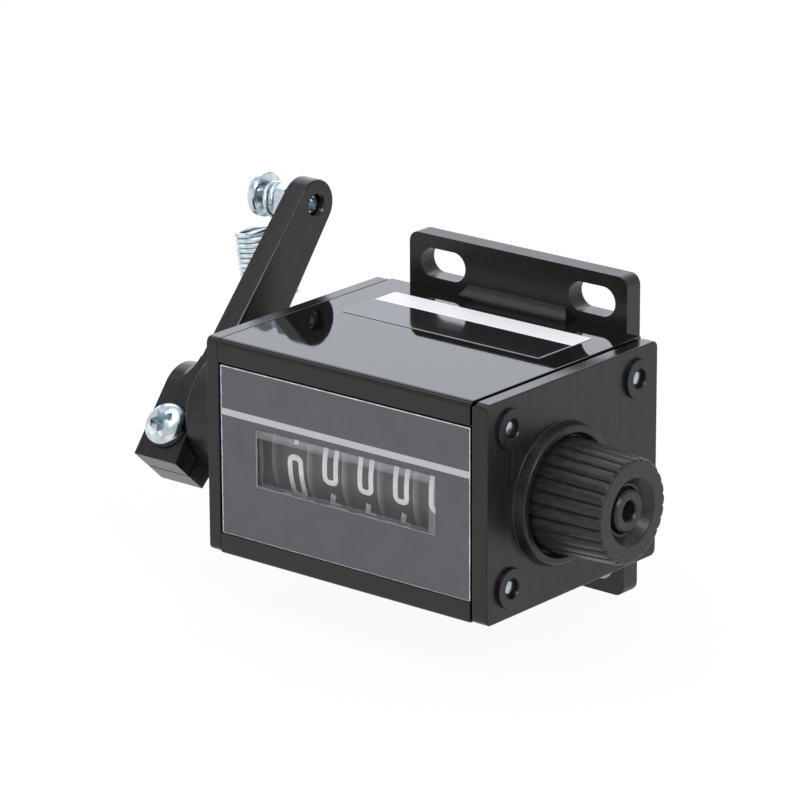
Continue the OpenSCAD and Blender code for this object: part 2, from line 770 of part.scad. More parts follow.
// The lower end is the upper one turned over about the spring's middle
function turned_over(p) = [-2 * spring_r - p[0], p[1], 2 * spring_neck + spring_l - p[2]];
spring_points = concat(
    spring_top,
    [for (i = [0 : spring_turns * curl_steps]) coil(i / (spring_turns * curl_steps))],
    [for (i = [len(spring_top) - 1 : -1 : 0]) turned_over(spring_top[i])]
);
echo("least gap of the extension spring to itself", least_gap(spring_points, spring_wire, curl_steps - 2));

// Return spring: turns round the drive shaft with a leg at each end
return_turns = 2.5;
return_gap = 0.25;
leg_reach = 1.35;
return_start = return_wire / 2 + return_gap;
return_travel = return_room - return_wire - 2 * return_gap;
function return_coil(u) = let (a = 120 + u * return_turns * 360)
    [return_r * cos(a), return_r * sin(a), return_start + u * return_travel];
return_steps = return_turns * curl_steps;
return_body = [for (i = [0 : return_steps]) return_coil(i / return_steps)];
function return_leg(p) = [p[0] * leg_reach, p[1] * leg_reach, p[2]];
return_points = concat([return_leg(return_body[0])], return_body, [return_leg(return_body[return_steps])]);
echo("least gap of the return spring to itself", least_gap(return_points, return_wire, curl_steps - 2));

module return_spring() {
    color(steel) along_shaft(x_in_left) wire_tube(return_points, return_wire, [0, 0, 1]);
}

// Lever frame: local x runs up the arm, local y square to it, local z along the shaft from the hub's end
module on_lever() {
    along_shaft(x_hub_end) rotate(lever_angle) children();
}

// Clamp frame: the lever frame turned so that local -x runs down the clamp
module on_clamp() {
    on_lever() rotate(-clamp_skew) children();
}

// Flanks that touch a circle at the origin and one further along x
function taper_points(r0, r1, l) = let (a = asin((r0 - r1) / l), c = cos(a), s = sin(a))
    [[r0 * s, r0 * c], [l + r1 * s, r1 * c], [l + r1 * s, -r1 * c], [r0 * s, -r0 * c]];

// Clamp jaws that run out of the hub and narrow to the clamp's end
function jaw_points() = let (
    corner = [-clamp_reach, clamp_w / 2],
    a = 180 - atan(clamp_w / 2 / clamp_reach) - acos(lever_hub_r / norm(corner)),
    root = polar(lever_hub_r, a)
) [corner, root, [root[0], -root[1]], [corner[0], -corner[1]]];

module lever_arm() {
    arm_z = lever_hub_l - arm_t;
    color(dark) difference() {
        union() {
            on_lever() cylinder(r = lever_hub_r, h = lever_hub_l);
            on_lever() translate([0, 0, arm_z]) linear_extrude(arm_t) {
                polygon(taper_points(lever_hub_r, arm_tip_r, lever_len));
                translate([lever_len, 0]) circle(arm_tip_r);
            }
            on_clamp() linear_extrude(lever_hub_l) polygon(jaw_points());
        }
        on_lever() translate([0, 0, -cut]) cylinder(r = shaft_r + press_gap, h = lever_hub_l + 2 * cut);
        on_lever() translate([lever_len, 0, arm_z - cut])
            cylinder(d = tip_screw_d + 2 * press_gap, h = arm_t + 2 * cut);
        on_clamp() translate([-clamp_reach - cut, -slit_w / 2, -cut])
            cube([clamp_reach + cut, slit_w, lever_hub_l + 2 * cut]);
        on_clamp() translate([-clamp_screw_out, 0, lever_hub_l / 2]) {
            rotate([90, 0, 0])
                cylinder(d = clamp_screw_d + 2 * press_gap, h = 4 * lever_hub_r, center = true);
            translate([0, seat_y, 0]) rotate([-90, 0, 0])
                cylinder(r = head_d / 2 + seat_gap, h = lever_hub_r);
            translate([0, -seat_y, 0]) rotate([90, 0, 0])
                cylinder(r = nut_corner_r + seat_gap, h = lever_hub_r);
        }
    }
}

// Cross and slot cut in a screw's head, sunk from z = 0
module cross_recess(depth) {
    cross_l = 2.9;
    cross_w = 0.7;
    slot_cut_w = 0.6;
    for (a = [0, 90]) rotate(a) translate([-cross_l / 2, -cross_w / 2, -depth])
        cube([cross_l, cross_w, depth + cut]);
    translate([-head_d, -slot_cut_w / 2, -depth / 2]) cube([2 * head_d, slot_cut_w, depth / 2 + cut]);
}

// Rounded head of a screw, standing on z = 0
module pan_head(d, h) {
    side_part = 0.55;
    top_part = 0.62;
    cylinder(d = d, h = h * side_part);
    translate([0, 0, h * side_part]) cylinder(d1 = d, d2 = d * top_part, h = h * (1 - side_part));
}

module clamp_screw() {
    end_proud = 0.8;
    recess = 1;
    shank_l = 2 * seat_y + nut_t + end_proud;
    color(steel) on_clamp() translate([-clamp_screw_out, seat_y, lever_hub_l / 2]) rotate([-90, 0, 0])
        difference() {
            union() {
                pan_head(head_d, clamp_head_h);
                translate([0, 0, -shank_l]) cylinder(d = clamp_screw_d, h = shank_l);
            }
            translate([0, 0, clamp_head_h]) cross_recess(recess);
        }
}

// Hexagon nut standing on z = 0
module hex_nut(bore_d) {
    difference() {
        cylinder(r = nut_corner_r, h = nut_t, $fn = 6);
        translate([0, 0, -cut]) cylinder(d = bore_d + 2 * press_gap, h = nut_t + 2 * cut);
    }
}

module clamp_nut() {
    color(steel) on_clamp() translate([-clamp_screw_out, -seat_y, lever_hub_l / 2]) rotate([90, 0, 0])
        hex_nut(clamp_screw_d);
}

module linkage_nut() {
    color(steel) on_lever() translate([lever_len, 0, lever_hub_l - arm_t - nut_t]) hex_nut(tip_screw_d);
}

// Slotted screw through the arm's tip, its head outwards
module linkage_screw() {
    slot_cut_w = 0.9;
    slot_depth = 0.8;
    stack = nut_t + tip_room;
    shank_l = arm_t - tip_sunk + stack;
    color(steel) on_lever() translate([lever_len, 0, lever_hub_l - arm_t - stack]) difference() {
        union() {
            mirror([0, 0, 1]) pan_head(head_d, tip_head_h);
            cylinder(d = tip_screw_d, h = shank_l);
        }
        translate([-head_d, -slot_cut_w / 2, -tip_head_h - cut])
            cube([2 * head_d, slot_cut_w, cut + slot_depth]);
    }
}

// Hooked on the tip screw by its inner loop
module extension_spring() {
    tip = polar(lever_len, lever_angle);
    color(steel) translate([loop_x, axis_y + tip[0], axis_z + tip[1]]) rotate([180, 0, 0])
        rotate([0, spring_tilt, 0]) translate([0, 0, loop_drop])
            wire_tube(spring_points, spring_wire, [1, 0, 0]);
}

module reset_knob() {
    x0 = x_right + knob_gap;
    l = x_face - x0;
    taper = atan((knob_base_r - knob_face_r) / l);
    sink = 0.6;
    rib_short = 0.25;
    dish_floor = 0.5;
    color(black) along_shaft(x0) difference() {
        union() {
            cylinder(r1 = knob_base_r - rib_h, r2 = knob_face_r - rib_h, h = l);
            for (i = [0 : knob_ribs - 1]) rotate(i * 360 / knob_ribs) translate([knob_base_r, 0, 0])
                rotate([0, -taper, 0]) translate([-rib_h - sink, -rib_w / 2, 0])
                    cube([rib_h + sink, rib_w, l - rib_short]);
        }
        translate([0, 0, -cut]) cylinder(r = shaft_r + press_gap, h = l + 2 * cut);
        translate([0, 0, l - knob_dish])
            cylinder(r1 = shaft_r + dish_floor, r2 = knob_dish_r, h = knob_dish);
        translate([0, 0, l]) cylinder(r = knob_dish_r, h = cut);
        mirror([0, 0, 1]) cylinder(r = knob_base_r + cut, h = cut);
    }
}

// Shaft of the number wheels, with a pick-up groove, a pilot, a clip groove and a drilled end
module reset_shaft() {
    groove_w = 1.2;
    groove_depth = 0.8;
    groove_end = 0.8;
    pilot_in = 1.6;
    x0 = x_row + side_gap;
    pilot_l = drive_plate_t + pilot_in;
    color(black) difference() {
        union() {
            along_shaft(x0) cylinder(d = shaft_d, h = x_shaft_end - x0);
            along_shaft(x0 - pilot_l) cylinder(d = pilot_d, h = pilot_l);
        }
        along_shaft(x0 + groove_end) translate([shaft_r - groove_depth, -groove_w / 2, 0])
            cube([groove_depth + cut, groove_w, x_row_end - x0 - 2 * groove_end]);
        along_shaft(x_clip - press_gap) difference() {
            cylinder(r = shaft_r + cut, h = clip_t + 2 * press_gap);
            translate([0, 0, -cut]) cylinder(r = shaft_r - clip_depth, h = clip_t + 3 * cut);
        }
        along_shaft(x_shaft_end - shaft_hole_l) cylinder(d = shaft_hole_d, h = shaft_hole_l + cut);
    }
}

// Notched collar that keeps the wheels together and clicks at zero
module reset_cam() {
    notch_w = 1;
    color(nylon) along_shaft(x_row_end + side_gap) difference() {
        cylinder(r = cam_r, h = cam_l);
        translate([0, 0, -cut]) cylinder(r = shaft_r + press_gap, h = cam_l + 2 * cut);
        translate([0, -cam_r, -cut]) rotate(45) translate([-notch_w / 2, -notch_w / 2, 0])
            cube([notch_w, notch_w, cam_l + 2 * cut]);
    }
}

// Open retaining ring in the shaft's groove
module shaft_clip() {
    grip = 0.3;
    mouth_w = 2 * (shaft_r - clip_depth - grip);
    color(steel) along_shaft(x_clip) difference() {
        cylinder(r = clip_r, h = clip_t);
        translate([0, 0, -cut]) cylinder(r = shaft_r - clip_depth + press_gap, h = clip_t + 2 * cut);
        translate([0, -mouth_w / 2, -cut]) cube([clip_r + cut, mouth_w, clip_t + 2 * cut]);
    }
}

case();
left_end_plate();
right_end_plate();
tie_rods();
face_label();
window_lens();
top_sticker();
units_wheel();
tens_wheel();
hundreds_wheel();
thousands_wheel();
ten_thousands_wheel();
transfer_pinion_1();
transfer_pinion_2();
transfer_pinion_3();
transfer_pinion_4();
pinion_shaft();
units_ratchet();
holding_spring();
drive_shaft();
drive_plate();
drive_pawl();
pawl_pin();
pawl_spring();
return_spring();
lever_arm();
clamp_screw();
clamp_nut();
linkage_screw();
linkage_nut();
extension_spring();
reset_knob();
reset_shaft();
reset_cam();
shaft_clip();
detent_spring();
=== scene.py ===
"""Looks of a lever-operated mechanical counter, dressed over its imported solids.

Every piece is modelled in millimetres in the part's own frame and scaled to metres when it is done:
X runs along the counting shaft from the lever to the reset knob, -Y faces the reader and +Z is up.
"""

import logging
import math
from contextlib import contextmanager
from dataclasses import dataclass
from enum import Enum
from typing import Callable, Iterable, Iterator, Sequence

import bmesh
import bpy
from mathutils import Matrix, Vector


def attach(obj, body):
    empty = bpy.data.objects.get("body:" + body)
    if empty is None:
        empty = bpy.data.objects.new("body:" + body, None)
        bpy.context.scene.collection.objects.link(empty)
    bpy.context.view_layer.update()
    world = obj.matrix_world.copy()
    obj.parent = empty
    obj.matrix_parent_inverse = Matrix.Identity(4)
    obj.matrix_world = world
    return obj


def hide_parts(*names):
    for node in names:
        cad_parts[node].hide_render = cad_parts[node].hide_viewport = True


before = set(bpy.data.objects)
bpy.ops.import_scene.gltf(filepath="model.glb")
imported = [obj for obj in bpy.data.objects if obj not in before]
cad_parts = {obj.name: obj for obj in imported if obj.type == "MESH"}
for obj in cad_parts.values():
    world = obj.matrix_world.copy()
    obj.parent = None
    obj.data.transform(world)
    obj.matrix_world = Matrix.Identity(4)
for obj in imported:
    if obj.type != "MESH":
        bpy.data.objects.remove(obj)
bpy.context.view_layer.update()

LOG = logging.getLogger("counter")
MM = 0.001
# Width of the swirls that bend a pattern's streaks, in mm
SWIRL_OVER = 13.0
Point = tuple[float, float, float]
Flat = tuple[float, float]

FaceTest = Callable[[bpy.types.MeshPolygon], bool]
EdgeTest = Callable[[bmesh.types.BMEdge], bool]
PointTest = Callable[[Vector], bool]
# Points this close to a face count as lying on it, in mm
NEAR = 0.05

# Counting shaft in (Y, Z), and the lever's rest angle above the horizontal
AXIS: Flat = (-20.9, -0.6)
LEVER_ANGLE = 50.2
# Outside of the case and of its end plates
CASE_Y: Flat = (-33.9, -2.5)
CASE_Z: Flat = (-13.1, 13.0)
# Inner faces of the end plates
PLATES_X: Flat = (-19.0, 18.5)
# Floor of the label's pocket, back of the window's plate, and the window's opening
POCKET_Y = -33.4
LENS_Y = -32.8
WINDOW_X: Flat = (-13.525, 13.175)
WINDOW_Z: Flat = (-3.95, 3.15)
# Start of the row of number wheels, the step from wheel to wheel and the gap before each
WHEEL_ROW = -13.3
WHEEL_PITCH = 5.25
WHEEL_GAP = 1.6
# How far each wheel's zero stands above the front, in degrees; the units wheel is between two digits
WHEEL_ANGLE = 5.7
UNITS_ANGLE = -11.0
# Tie rods in (Y, Z)
RODS: list[Flat] = [(y, z) for y in (-29.9, -6.5) for z in (-9.4, 9.4)]
# Corners of the top sticker in (X, Y)
STICKER_LOW: Flat = (-14.9, -16.8)
STICKER_HIGH: Flat = (14.5, -6.8)


class Body(Enum):
    """Moving bodies of the counter that new pieces ride on."""

    HOUSING = "housing"
    LEVER = "lever"
    SPRING = "hanging_spring"
    RESET = "reset"
    UNITS = "units"
    TENS = "tens"
    HUNDREDS = "hundreds"
    THOUSANDS = "thousands"
    TEN_THOUSANDS = "ten_thousands"


class Side(Enum):
    """End plates of the counter, on the lever's side and on the knob's."""

    LEVER = "left_end_plate"
    KNOB = "right_end_plate"


def linear(code: str) -> tuple[float, float, float, float]:
    """Turns an sRGB hex colour into the linear colour that a shader reads.

    Args:
        code: Colour as "#rrggbb".

    Returns:
        Linear red, green, blue and an alpha of one.
    """
    parts = [int(code[i:i + 2], 16) / 255 for i in (1, 3, 5)]
    return (*[c / 12.92 if c <= 0.04045 else ((c + 0.055) / 1.055) ** 2.4 for c in parts], 1.0)


def plug(tree: bpy.types.NodeTree, node: bpy.types.Node, sockets: dict) -> None:
    """Sets or links a node's inputs.

    Args:
        tree: Node tree of the material.
        node: Node whose inputs are fed.
        sockets: Input name or number to a value, to an output, or to a node, which gives its first output.
    """
    for key, value in sockets.items():
        if isinstance(value, bpy.types.Node):
            value = value.outputs[0]
        if isinstance(value, bpy.types.NodeSocket):
            tree.links.new(value, node.inputs[key])
        else:
            node.inputs[key].default_value = value


def add_node(tree: bpy.types.NodeTree, kind: str, sockets: dict | None = None,
             stops: Sequence[tuple[float, str]] = (), **settings) -> bpy.types.Node:
    """Adds a node with its settings and links.

    Args:
        tree: Node tree that gets the node.
        kind: Blender's name of the node type, without the start that all of them share.
        sockets: Inputs as plug takes them.
        stops: Places and colours of a colour ramp's stops.
        **settings: Properties of the node itself.

    Returns:
        The new node.
    """
    node = tree.nodes.new(f"ShaderNode{kind}")
    for key, value in settings.items():
        setattr(node, key, value)
    plug(tree, node, sockets or {})
    for number, (place, code) in enumerate(stops):
        node.color_ramp.elements[number].position = place
        node.color_ramp.elements[number].color = linear(code)
    return node


def per_metre(size_mm: float) -> float:
    """Gives the texture scale whose pattern repeats about every size_mm."""
    return 1.0 / (size_mm * MM)


def object_point(tree: bpy.types.NodeTree, stretch: Point = (1, 1, 1), lean: float = 0.0,
                 swirl_mm: float = 0.0) -> bpy.types.Node:
    """Gives the point on the piece for a pattern.

    Args:
        tree: Node tree of the material.
        stretch: Factors that draw the pattern out along the axes.
        lean: Degrees that the pattern is turned about X.
        swirl_mm: How far a slow second pattern pushes the point aside, which bends streaks into swirls.

    Returns:
        The node that puts the point out.
    """
    place = add_node(tree, "TexCoord").outputs["Object"]
    point = add_node(tree, "Mapping", {"Vector": place, "Rotation": (math.radians(lean), 0, 0)})
    if swirl_mm:
        slow = add_node(tree, "TexNoise", {"Vector": point, "Scale": per_metre(SWIRL_OVER), "Detail": 1.0})
        push = {0: slow.outputs["Color"], "Scale": swirl_mm * MM}
        aside = add_node(tree, "VectorMath", push, operation="SCALE")
        point = add_node(tree, "VectorMath", {0: point, 1: aside}, operation="ADD")
    return add_node(tree, "Mapping", {"Vector": point, "Scale": stretch})


@dataclass(frozen=True)
class Finish:
    """Base of a surface finish, with the values that are the same all over it."""

    name: str
    color: str
    roughness: float
    ior: float = 1.5
    metallic: float = 0.0

    def material(self) -> bpy.types.Material:
        """Gives the finish's material, made on first use.

        Returns:
            The material.
        """
        found = bpy.data.materials.get(self.name)
        if found is not None:
            return found
        made = bpy.data.materials.new(self.name)
        made.use_nodes = True
        tree = made.node_tree
        shader = tree.nodes["Principled BSDF"]
        plain = {"Base Color": linear(self.color), "Roughness": self.roughness, "Metallic": self.metallic}
        plug(tree, shader, plain if self.metallic else {**plain, "IOR": self.ior})
        plug(tree, shader, self.detail(tree))
        return made

    def detail(self, tree: bpy.types.NodeTree) -> dict:
        """Adds the surface detail of the finish.

        Args:
            tree: Node tree of the material.

        Returns:
            Shader inputs and what feeds them.
        """
        return {}


@dataclass(frozen=True)
class PolishedAbs(Finish):
    """Black ABS from a polished mould: a mirror gloss over a very slight waviness."""

    wave_mm: float = 7.0
    wave_depth_mm: float = 0.004
    haze_mm: float = 2.5
    haze: Flat = (0.75, 1.35)

    def detail(self, tree: bpy.types.NodeTree) -> dict:
        """Adds the mould's waviness and patches of faint haze.

        Args:
            tree: Node tree of the material.

        Returns:
            Shader inputs and what feeds them.
        """
        point = object_point(tree)
        haze, wave = (
            add_node(tree, "TexNoise", {"Vector": point, "Scale": per_metre(size), "Detail": detail})
            for size, detail in ((self.haze_mm, 4.0), (self.wave_mm, 1.0)))
        least, most = (self.roughness * share for share in self.haze)
        return {
            "Roughness": add_node(tree, "MapRange", {"Value": haze, "To Min": least, "To Max": most}),
            "Normal": add_node(tree, "Bump", {"Height": wave, "Strength": 0.6,
                                              "Distance": self.wave_depth_mm * MM}),
        }


@dataclass(frozen=True)
class SparkNylon(Finish):
    """Black glass-filled nylon from a spark-eroded mould: a fine even grit that breaks up the sheen."""

    pale: str = "#2c2c2f"
    # Real spark grit is about 0.05 mm; it is drawn coarser so that it shows
    grit_mm: float = 0.28
    grit_depth_mm: float = 0.012
    flow_mm: float = 5.0
    flow_depth_mm: float = 0.0
    streak: Point = (1, 1, 1)
    swirl_mm: float = 0.0
    lean: float = 0.0
    sheen: float = 0.1

    def detail(self, tree: bpy.types.NodeTree) -> dict:
        """Adds the grit, and the flow streaks that the melt leaves.

        Args:
            tree: Node tree of the material.

        Returns:
            Shader inputs and what feeds them.
        """
        grit = add_node(tree, "TexNoise", {"Vector": object_point(tree), "Scale": per_metre(self.grit_mm),
                                           "Detail": 3.0})
        drawn = object_point(tree, self.streak, self.lean, self.swirl_mm)
        flow = add_node(tree, "TexNoise", {"Vector": drawn, "Scale": per_metre(self.flow_mm), "Detail": 5.0,
                                           "Roughness": 0.6})
        relief = add_node(tree, "Bump", {"Height": grit, "Strength": 0.35,
                                         "Distance": self.grit_depth_mm * MM})
        if self.flow_depth_mm:
            relief = add_node(tree, "Bump", {"Height": flow, "Strength": 0.4, "Normal": relief,
                                             "Distance": self.flow_depth_mm * MM})
        return {
            "Base Color": add_node(tree, "ValToRGB", {"Fac": flow}, ((0.3, self.color), (0.75, self.pale))),
            "Roughness": add_node(tree, "MapRange", {"Value": flow, "To Min": self.roughness - self.sheen,
                                                     "To Max": self.roughness + self.sheen}),
            "Normal": relief,
        }


@dataclass(frozen=True)
class PrintedFilm(Finish):
    """Polycarbonate film, screen printed grey on its back, with one pale stripe: a soft satin face."""

    pale: str = "#525157"
    stripe: str = "#b2b2b5"
    stripe_mid: float = 4.35
    stripe_w: float = 0.8
    cut_x: float = -18.6
    fray: float = 0.15
    mottle_mm: float = 3.0
    # The film's real grain is about 0.08 mm; it is drawn coarser so that it shows
    grain_mm: float = 0.3
    grain_depth_mm: float = 0.006

    def detail(self, tree: bpy.types.NodeTree) -> dict:
        """Adds the stripe, the ragged cut on the left, the ink's mottle and the film's grain.

        Args:
            tree: Node tree of the material.

        Returns:
            Shader inputs and what feeds them.
        """
        point, fray = object_point(tree), self.fray * MM
        mottle, grain = (
            add_node(tree, "TexNoise", {"Vector": point, "Scale": per_metre(size), "Detail": detail})
            for size, detail in ((self.mottle_mm, 4.0), (self.grain_mm, 2.0)))
        split = add_node(tree, "SeparateXYZ", {"Vector": point})
        inside = add_node(tree, "Math", {0: split.outputs["Z"], 1: self.stripe_mid * MM,
                                         2: self.stripe_w / 2 * MM}, operation="COMPARE")
        frayed = add_node(tree, "MapRange", {"Value": grain, "To Min": -fray, "To Max": fray})
        ragged = add_node(tree, "Math", {0: split.outputs["X"], 1: frayed}, operation="ADD")
        cut = add_node(tree, "Math", {0: ragged, 1: self.cut_x * MM}, operation="LESS_THAN")
        pale = add_node(tree, "Math", {0: inside, 1: cut}, operation="MAXIMUM")
        ink = add_node(tree, "ValToRGB", {"Fac": mottle}, ((0.3, self.color), (0.7, self.pale)))
        mixed = add_node(tree, "Mix", {0: pale, 6: ink, 7: linear(self.stripe)}, data_type="RGBA")
        relief = add_node(tree, "Bump", {"Height": grain, "Strength": 0.2,
                                         "Distance": self.grain_depth_mm * MM})
        return {"Base Color": mixed.outputs[2], "Normal": relief}


@dataclass(frozen=True)
class ClearFilm(Finish):
    """Clear polycarbonate window: see-through, with a milky margin where it is bonded to the frame."""

    margin_x: Flat = (0.305, 0.955)
    margin_z: Flat = (0.3, 1.0)
    milk: float = 0.2
    clear: float = 0.045
    ripple_mm: float = 1.6
    ripple: float = 0.35

    def detail(self, tree: bpy.types.NodeTree) -> dict:
        """Adds the margin, with the uneven edge that the bonding leaves on the left and below.

        Args:
            tree: Node tree of the material.

        Returns:
            Shader inputs and what feeds them.
        """
        point, ripple = object_point(tree), self.ripple * MM
        wave = add_node(tree, "TexNoise", {"Vector": point, "Scale": per_metre(self.ripple_mm),
                                           "Detail": 2.0})
        shift = add_node(tree, "MapRange", {"Value": wave, "To Min": -ripple, "To Max": ripple})
        split = add_node(tree, "SeparateXYZ", {"Vector": point})
        margin = 0.0
        sides = (("X", WINDOW_X, self.margin_x), ("Z", WINDOW_Z, self.margin_z))
        for axis, (low, high), (first, last) in sides:
            place = split.outputs[axis]
            uneven = add_node(tree, "Math", {0: place, 1: shift}, operation="ADD")
            below = add_node(tree, "Math", {0: uneven, 1: (low + first) * MM}, operation="LESS_THAN")
            above = add_node(tree, "Math", {0: place, 1: (high - last) * MM}, operation="GREATER_THAN")
            for edge in (below, above):
                margin = add_node(tree, "Math", {0: margin, 1: edge}, operation="MAXIMUM")
        milky = add_node(tree, "MapRange", {"Value": margin, "To Min": self.clear, "To Max": self.milk})
        return {"Alpha": milky}


@dataclass(frozen=True)
class ZincPlate(Finish):
    """Bright zinc on steel, blue passivated: cool metal with faint straw and blue patches."""

    warm: str = "#dde3e5"
    patch_mm: float = 1.4
    # Real handling marks are about 0.05 mm wide; they are drawn coarser so that they show
    scratch_mm: float = 0.25
    scratch_depth_mm: float = 0.01

    def detail(self, tree: bpy.types.NodeTree) -> dict:
        """Adds the passivation's patches and fine handling marks.

        Args:
            tree: Node tree of the material.

        Returns:
            Shader inputs and what feeds them.
        """
        point = object_point(tree)
        patch, marks = (
            add_node(tree, "TexNoise", {"Vector": point, "Scale": per_metre(size), "Detail": detail})
            for size, detail in ((self.patch_mm, 3.0), (self.scratch_mm, 2.0)))
        return {
            "Base Color": add_node(tree, "ValToRGB", {"Fac": patch}, ((0.35, self.color), (0.65, self.warm))),
            "Roughness": add_node(tree, "MapRange", {"Value": marks, "To Min": self.roughness - 0.08,
                                                     "To Max": self.roughness + 0.1}),
            "Normal": add_node(tree, "Bump", {"Height": marks, "Strength": 0.12,
                                              "Distance": self.scratch_depth_mm * MM}),
        }


@dataclass(frozen=True)
class DrawnSteel(Finish):
    """Cold-drawn steel bar: grey metal with fine lines along its length."""

    pale: str = "#c4ccd2"
    # Real drawing lines are about 0.03 mm apart; they are drawn coarser so that they show
    line_mm: float = 0.2
    along: Point = (0.06, 1, 1)

    def detail(self, tree: bpy.types.NodeTree) -> dict:
        """Adds the drawing lines, which run along X.

        Args:
            tree: Node tree of the material.

        Returns:
            Shader inputs and what feeds them.
        """
        lines = add_node(tree, "TexNoise", {"Vector": object_point(tree, self.along),
                                            "Scale": per_metre(self.line_mm), "Detail": 3.0})
        return {
            "Base Color": add_node(tree, "ValToRGB", {"Fac": lines}, ((0.3, self.color), (0.7, self.pale))),
            "Roughness": add_node(tree, "MapRange", {"Value": lines, "To Min": self.roughness - 0.08,
                                                     "To Max": self.roughness + 0.12}),
        }


@dataclass(frozen=True)
class PlateSticker(Finish):
    """Film with a matt white field, a glossy black field and a fine grey cut at its edge."""

    field_color: str = "#e4e3e8"
    field_roughness: float = 0.5
    split_y: float = -10.6
    cut_w: float = 0.15
    cut_share: float = 0.36

    def detail(self, tree: bpy.types.NodeTree) -> dict:
        """Adds the two fields and the cut edge.

        Args:
            tree: Node tree of the material.

        Returns:
            Shader inputs and what feeds them.
        """
        split = add_node(tree, "SeparateXYZ", {"Vector": object_point(tree)})
        gaps = []
        for axis, low, high in zip("XY", STICKER_LOW, STICKER_HIGH):
            middle, half = (low + high) / 2 * MM, (high - low) / 2 * MM
            away = add_node(tree, "Math", {0: split.outputs[axis], 1: middle}, operation="SUBTRACT")
            size = add_node(tree, "Math", {0: away}, operation="ABSOLUTE")
            gaps.append(add_node(tree, "Math", {0: half, 1: size}, operation="SUBTRACT"))
        inside = add_node(tree, "Math", {0: gaps[0], 1: gaps[1]}, operation="MINIMUM")
        cut = add_node(tree, "Math", {0: inside, 1: self.cut_w * MM}, operation="LESS_THAN")
        behind = {0: split.outputs["Y"], 1: self.split_y * MM}
        white = add_node(tree, "Math", behind, operation="GREATER_THAN")
        matt = add_node(tree, "Math", {0: cut, 1: white}, operation="MAXIMUM")
        grey = add_node(tree, "Math", {0: cut, 1: self.cut_share}, operation="MULTIPLY")
        pale = add_node(tree, "Math", {0: grey, 1: white}, operation="MAXIMUM")
        fields = ((0.0, self.color), (1.0, self.field_color))
        return {
            "Base Color": add_node(tree, "ValToRGB", {"Fac": pale}, fields),
            "Roughness": add_node(tree, "MapRange", {"Value": matt, "To Min": self.roughness,
                                                     "To Max": self.field_roughness}),
        }


@dataclass(frozen=True)
class ShadedStrips(Finish):
    """Grey strips in a row along X, each with painted light on its left and painted shade on its right."""

    shade: str = "#333336"
    fade_w: float = 1.1

    def detail(self, tree: bpy.types.NodeTree) -> dict:
        """Adds the painted fade from each strip's painted light at its edge into its painted shade.

        Args:
            tree: Node tree of the material.

        Returns:
            Shader inputs and what feeds them.
        """
        split = add_node(tree, "SeparateXYZ", {"Vector": object_point(tree)})
        away = add_node(tree, "Math", {0: split.outputs["X"], 1: WHEEL_ROW * MM}, operation="SUBTRACT")
        turns = add_node(tree, "Math", {0: away, 1: WHEEL_PITCH * MM}, operation="DIVIDE")
        part = add_node(tree, "Math", {0: turns}, operation="FRACT")
        # Painted light at each strip's left edge fades into painted shade across fade_w
        fade = ((0.0, self.color), (self.fade_w / WHEEL_PITCH, self.shade))
        return {"Base Color": add_node(tree, "ValToRGB", {"Fac": part}, fade)}


# ABS from a polished mould: deep black that mirrors the room almost sharply
CASE_BLACK = PolishedAbs("polished_black_abs", "#0b0b0c", 0.035, 1.46)
# The same ABS where the mould is less polished: the flange blurs what it mirrors
FLANGE_BLACK = PolishedAbs("glossy_black_abs_flange", "#0b0b0c", 0.26, 1.46)
# The same ABS where the mould was only ground: the flange's rim has a soft grey sheen
FLANGE_RIM = SparkNylon("satin_black_abs_rim", "#121214", 0.38, 1.46, pale="#19191b")
# Glass-filled nylon, moulded: satin black with swirling streaks where the melt ran
PLATE_BLACK = SparkNylon("spark_black_nylon_plate", "#0a0a0c", 0.32, 1.4, pale="#242428", flow_mm=2.0,
                         flow_depth_mm=0.012, streak=(1, 3.6, 0.16), swirl_mm=9.0)
# The plates' thin rims, from a smoother wall of the mould: they mirror the room softly
PLATE_RIM = PolishedAbs("smooth_black_nylon_rim", "#0b0b0c", 0.17, 1.46)
# The same nylon in the lever: a closer sheen, with fine streaks along the arm
LEVER_BLACK = SparkNylon("spark_black_nylon_lever", "#09090b", 0.24, 1.4, pale="#232327", flow_mm=1.6,
                         flow_depth_mm=0.02, streak=(3, 0.1, 3), lean=-LEVER_ANGLE)
# The same nylon in the knob: fibres at the surface make its ribs sparkle a little
KNOB_BLACK = SparkNylon("spark_black_nylon_knob", "#131314", 0.33, 1.39, pale="#2f2f31", grit_mm=0.3,
                        grit_depth_mm=0.04, flow_mm=0.5, streak=(0.45, 1, 1))
# Polycarbonate film printed on its back: an even slate grey, slightly satin
LABEL_GREY = PrintedFilm("printed_grey_film", "#4d4c53", 0.5, 1.48)
# Where the film was cut, its bare edge shows as a thin broken white line
LABEL_EDGE = SparkNylon("cut_film_edge", "#a6a6aa", 0.5, 1.58, pale="#f6f6f8", flow_mm=0.9)
# Clear polycarbonate: almost nothing but its milky margin and a faint veil
WINDOW_CLEAR = ClearFilm("clear_polycarbonate", "#d4d6da", 0.12, 1.58)
# Moulded acetal: dull dark grey that lets the digits stand out
WHEEL_GREY = SparkNylon("dark_grey_acetal", "#303033", 0.4, 1.48, pale="#3c3c3f")
# Moulded ABS behind the window: grey strips with painted light at their left edge, which fades into painted
# shade from the wheels
MASK_GREY_PAINTED_SHADE = ShadedStrips("grey_abs_mask_painted_shade", "#838388", 0.45, 1.5)
# Pad-printed ink: matt white, a little thin in places
DIGIT_WHITE = SparkNylon("white_marking_ink", "#d9dadd", 0.5, 1.5, pale="#f4f4f5", flow_mm=1.2)
# Undyed nylon of the works: warm ivory with a soft sheen
GEAR_NYLON = SparkNylon("natural_nylon", "#cfcabb", 0.45, 1.53, pale="#e4e1d6")
# Zinc with blue passivation on screws and nuts: bright, cool and slightly patchy
ZINC = ZincPlate("blue_passivated_zinc", "#b2c4ce", 0.18, metallic=1.0)
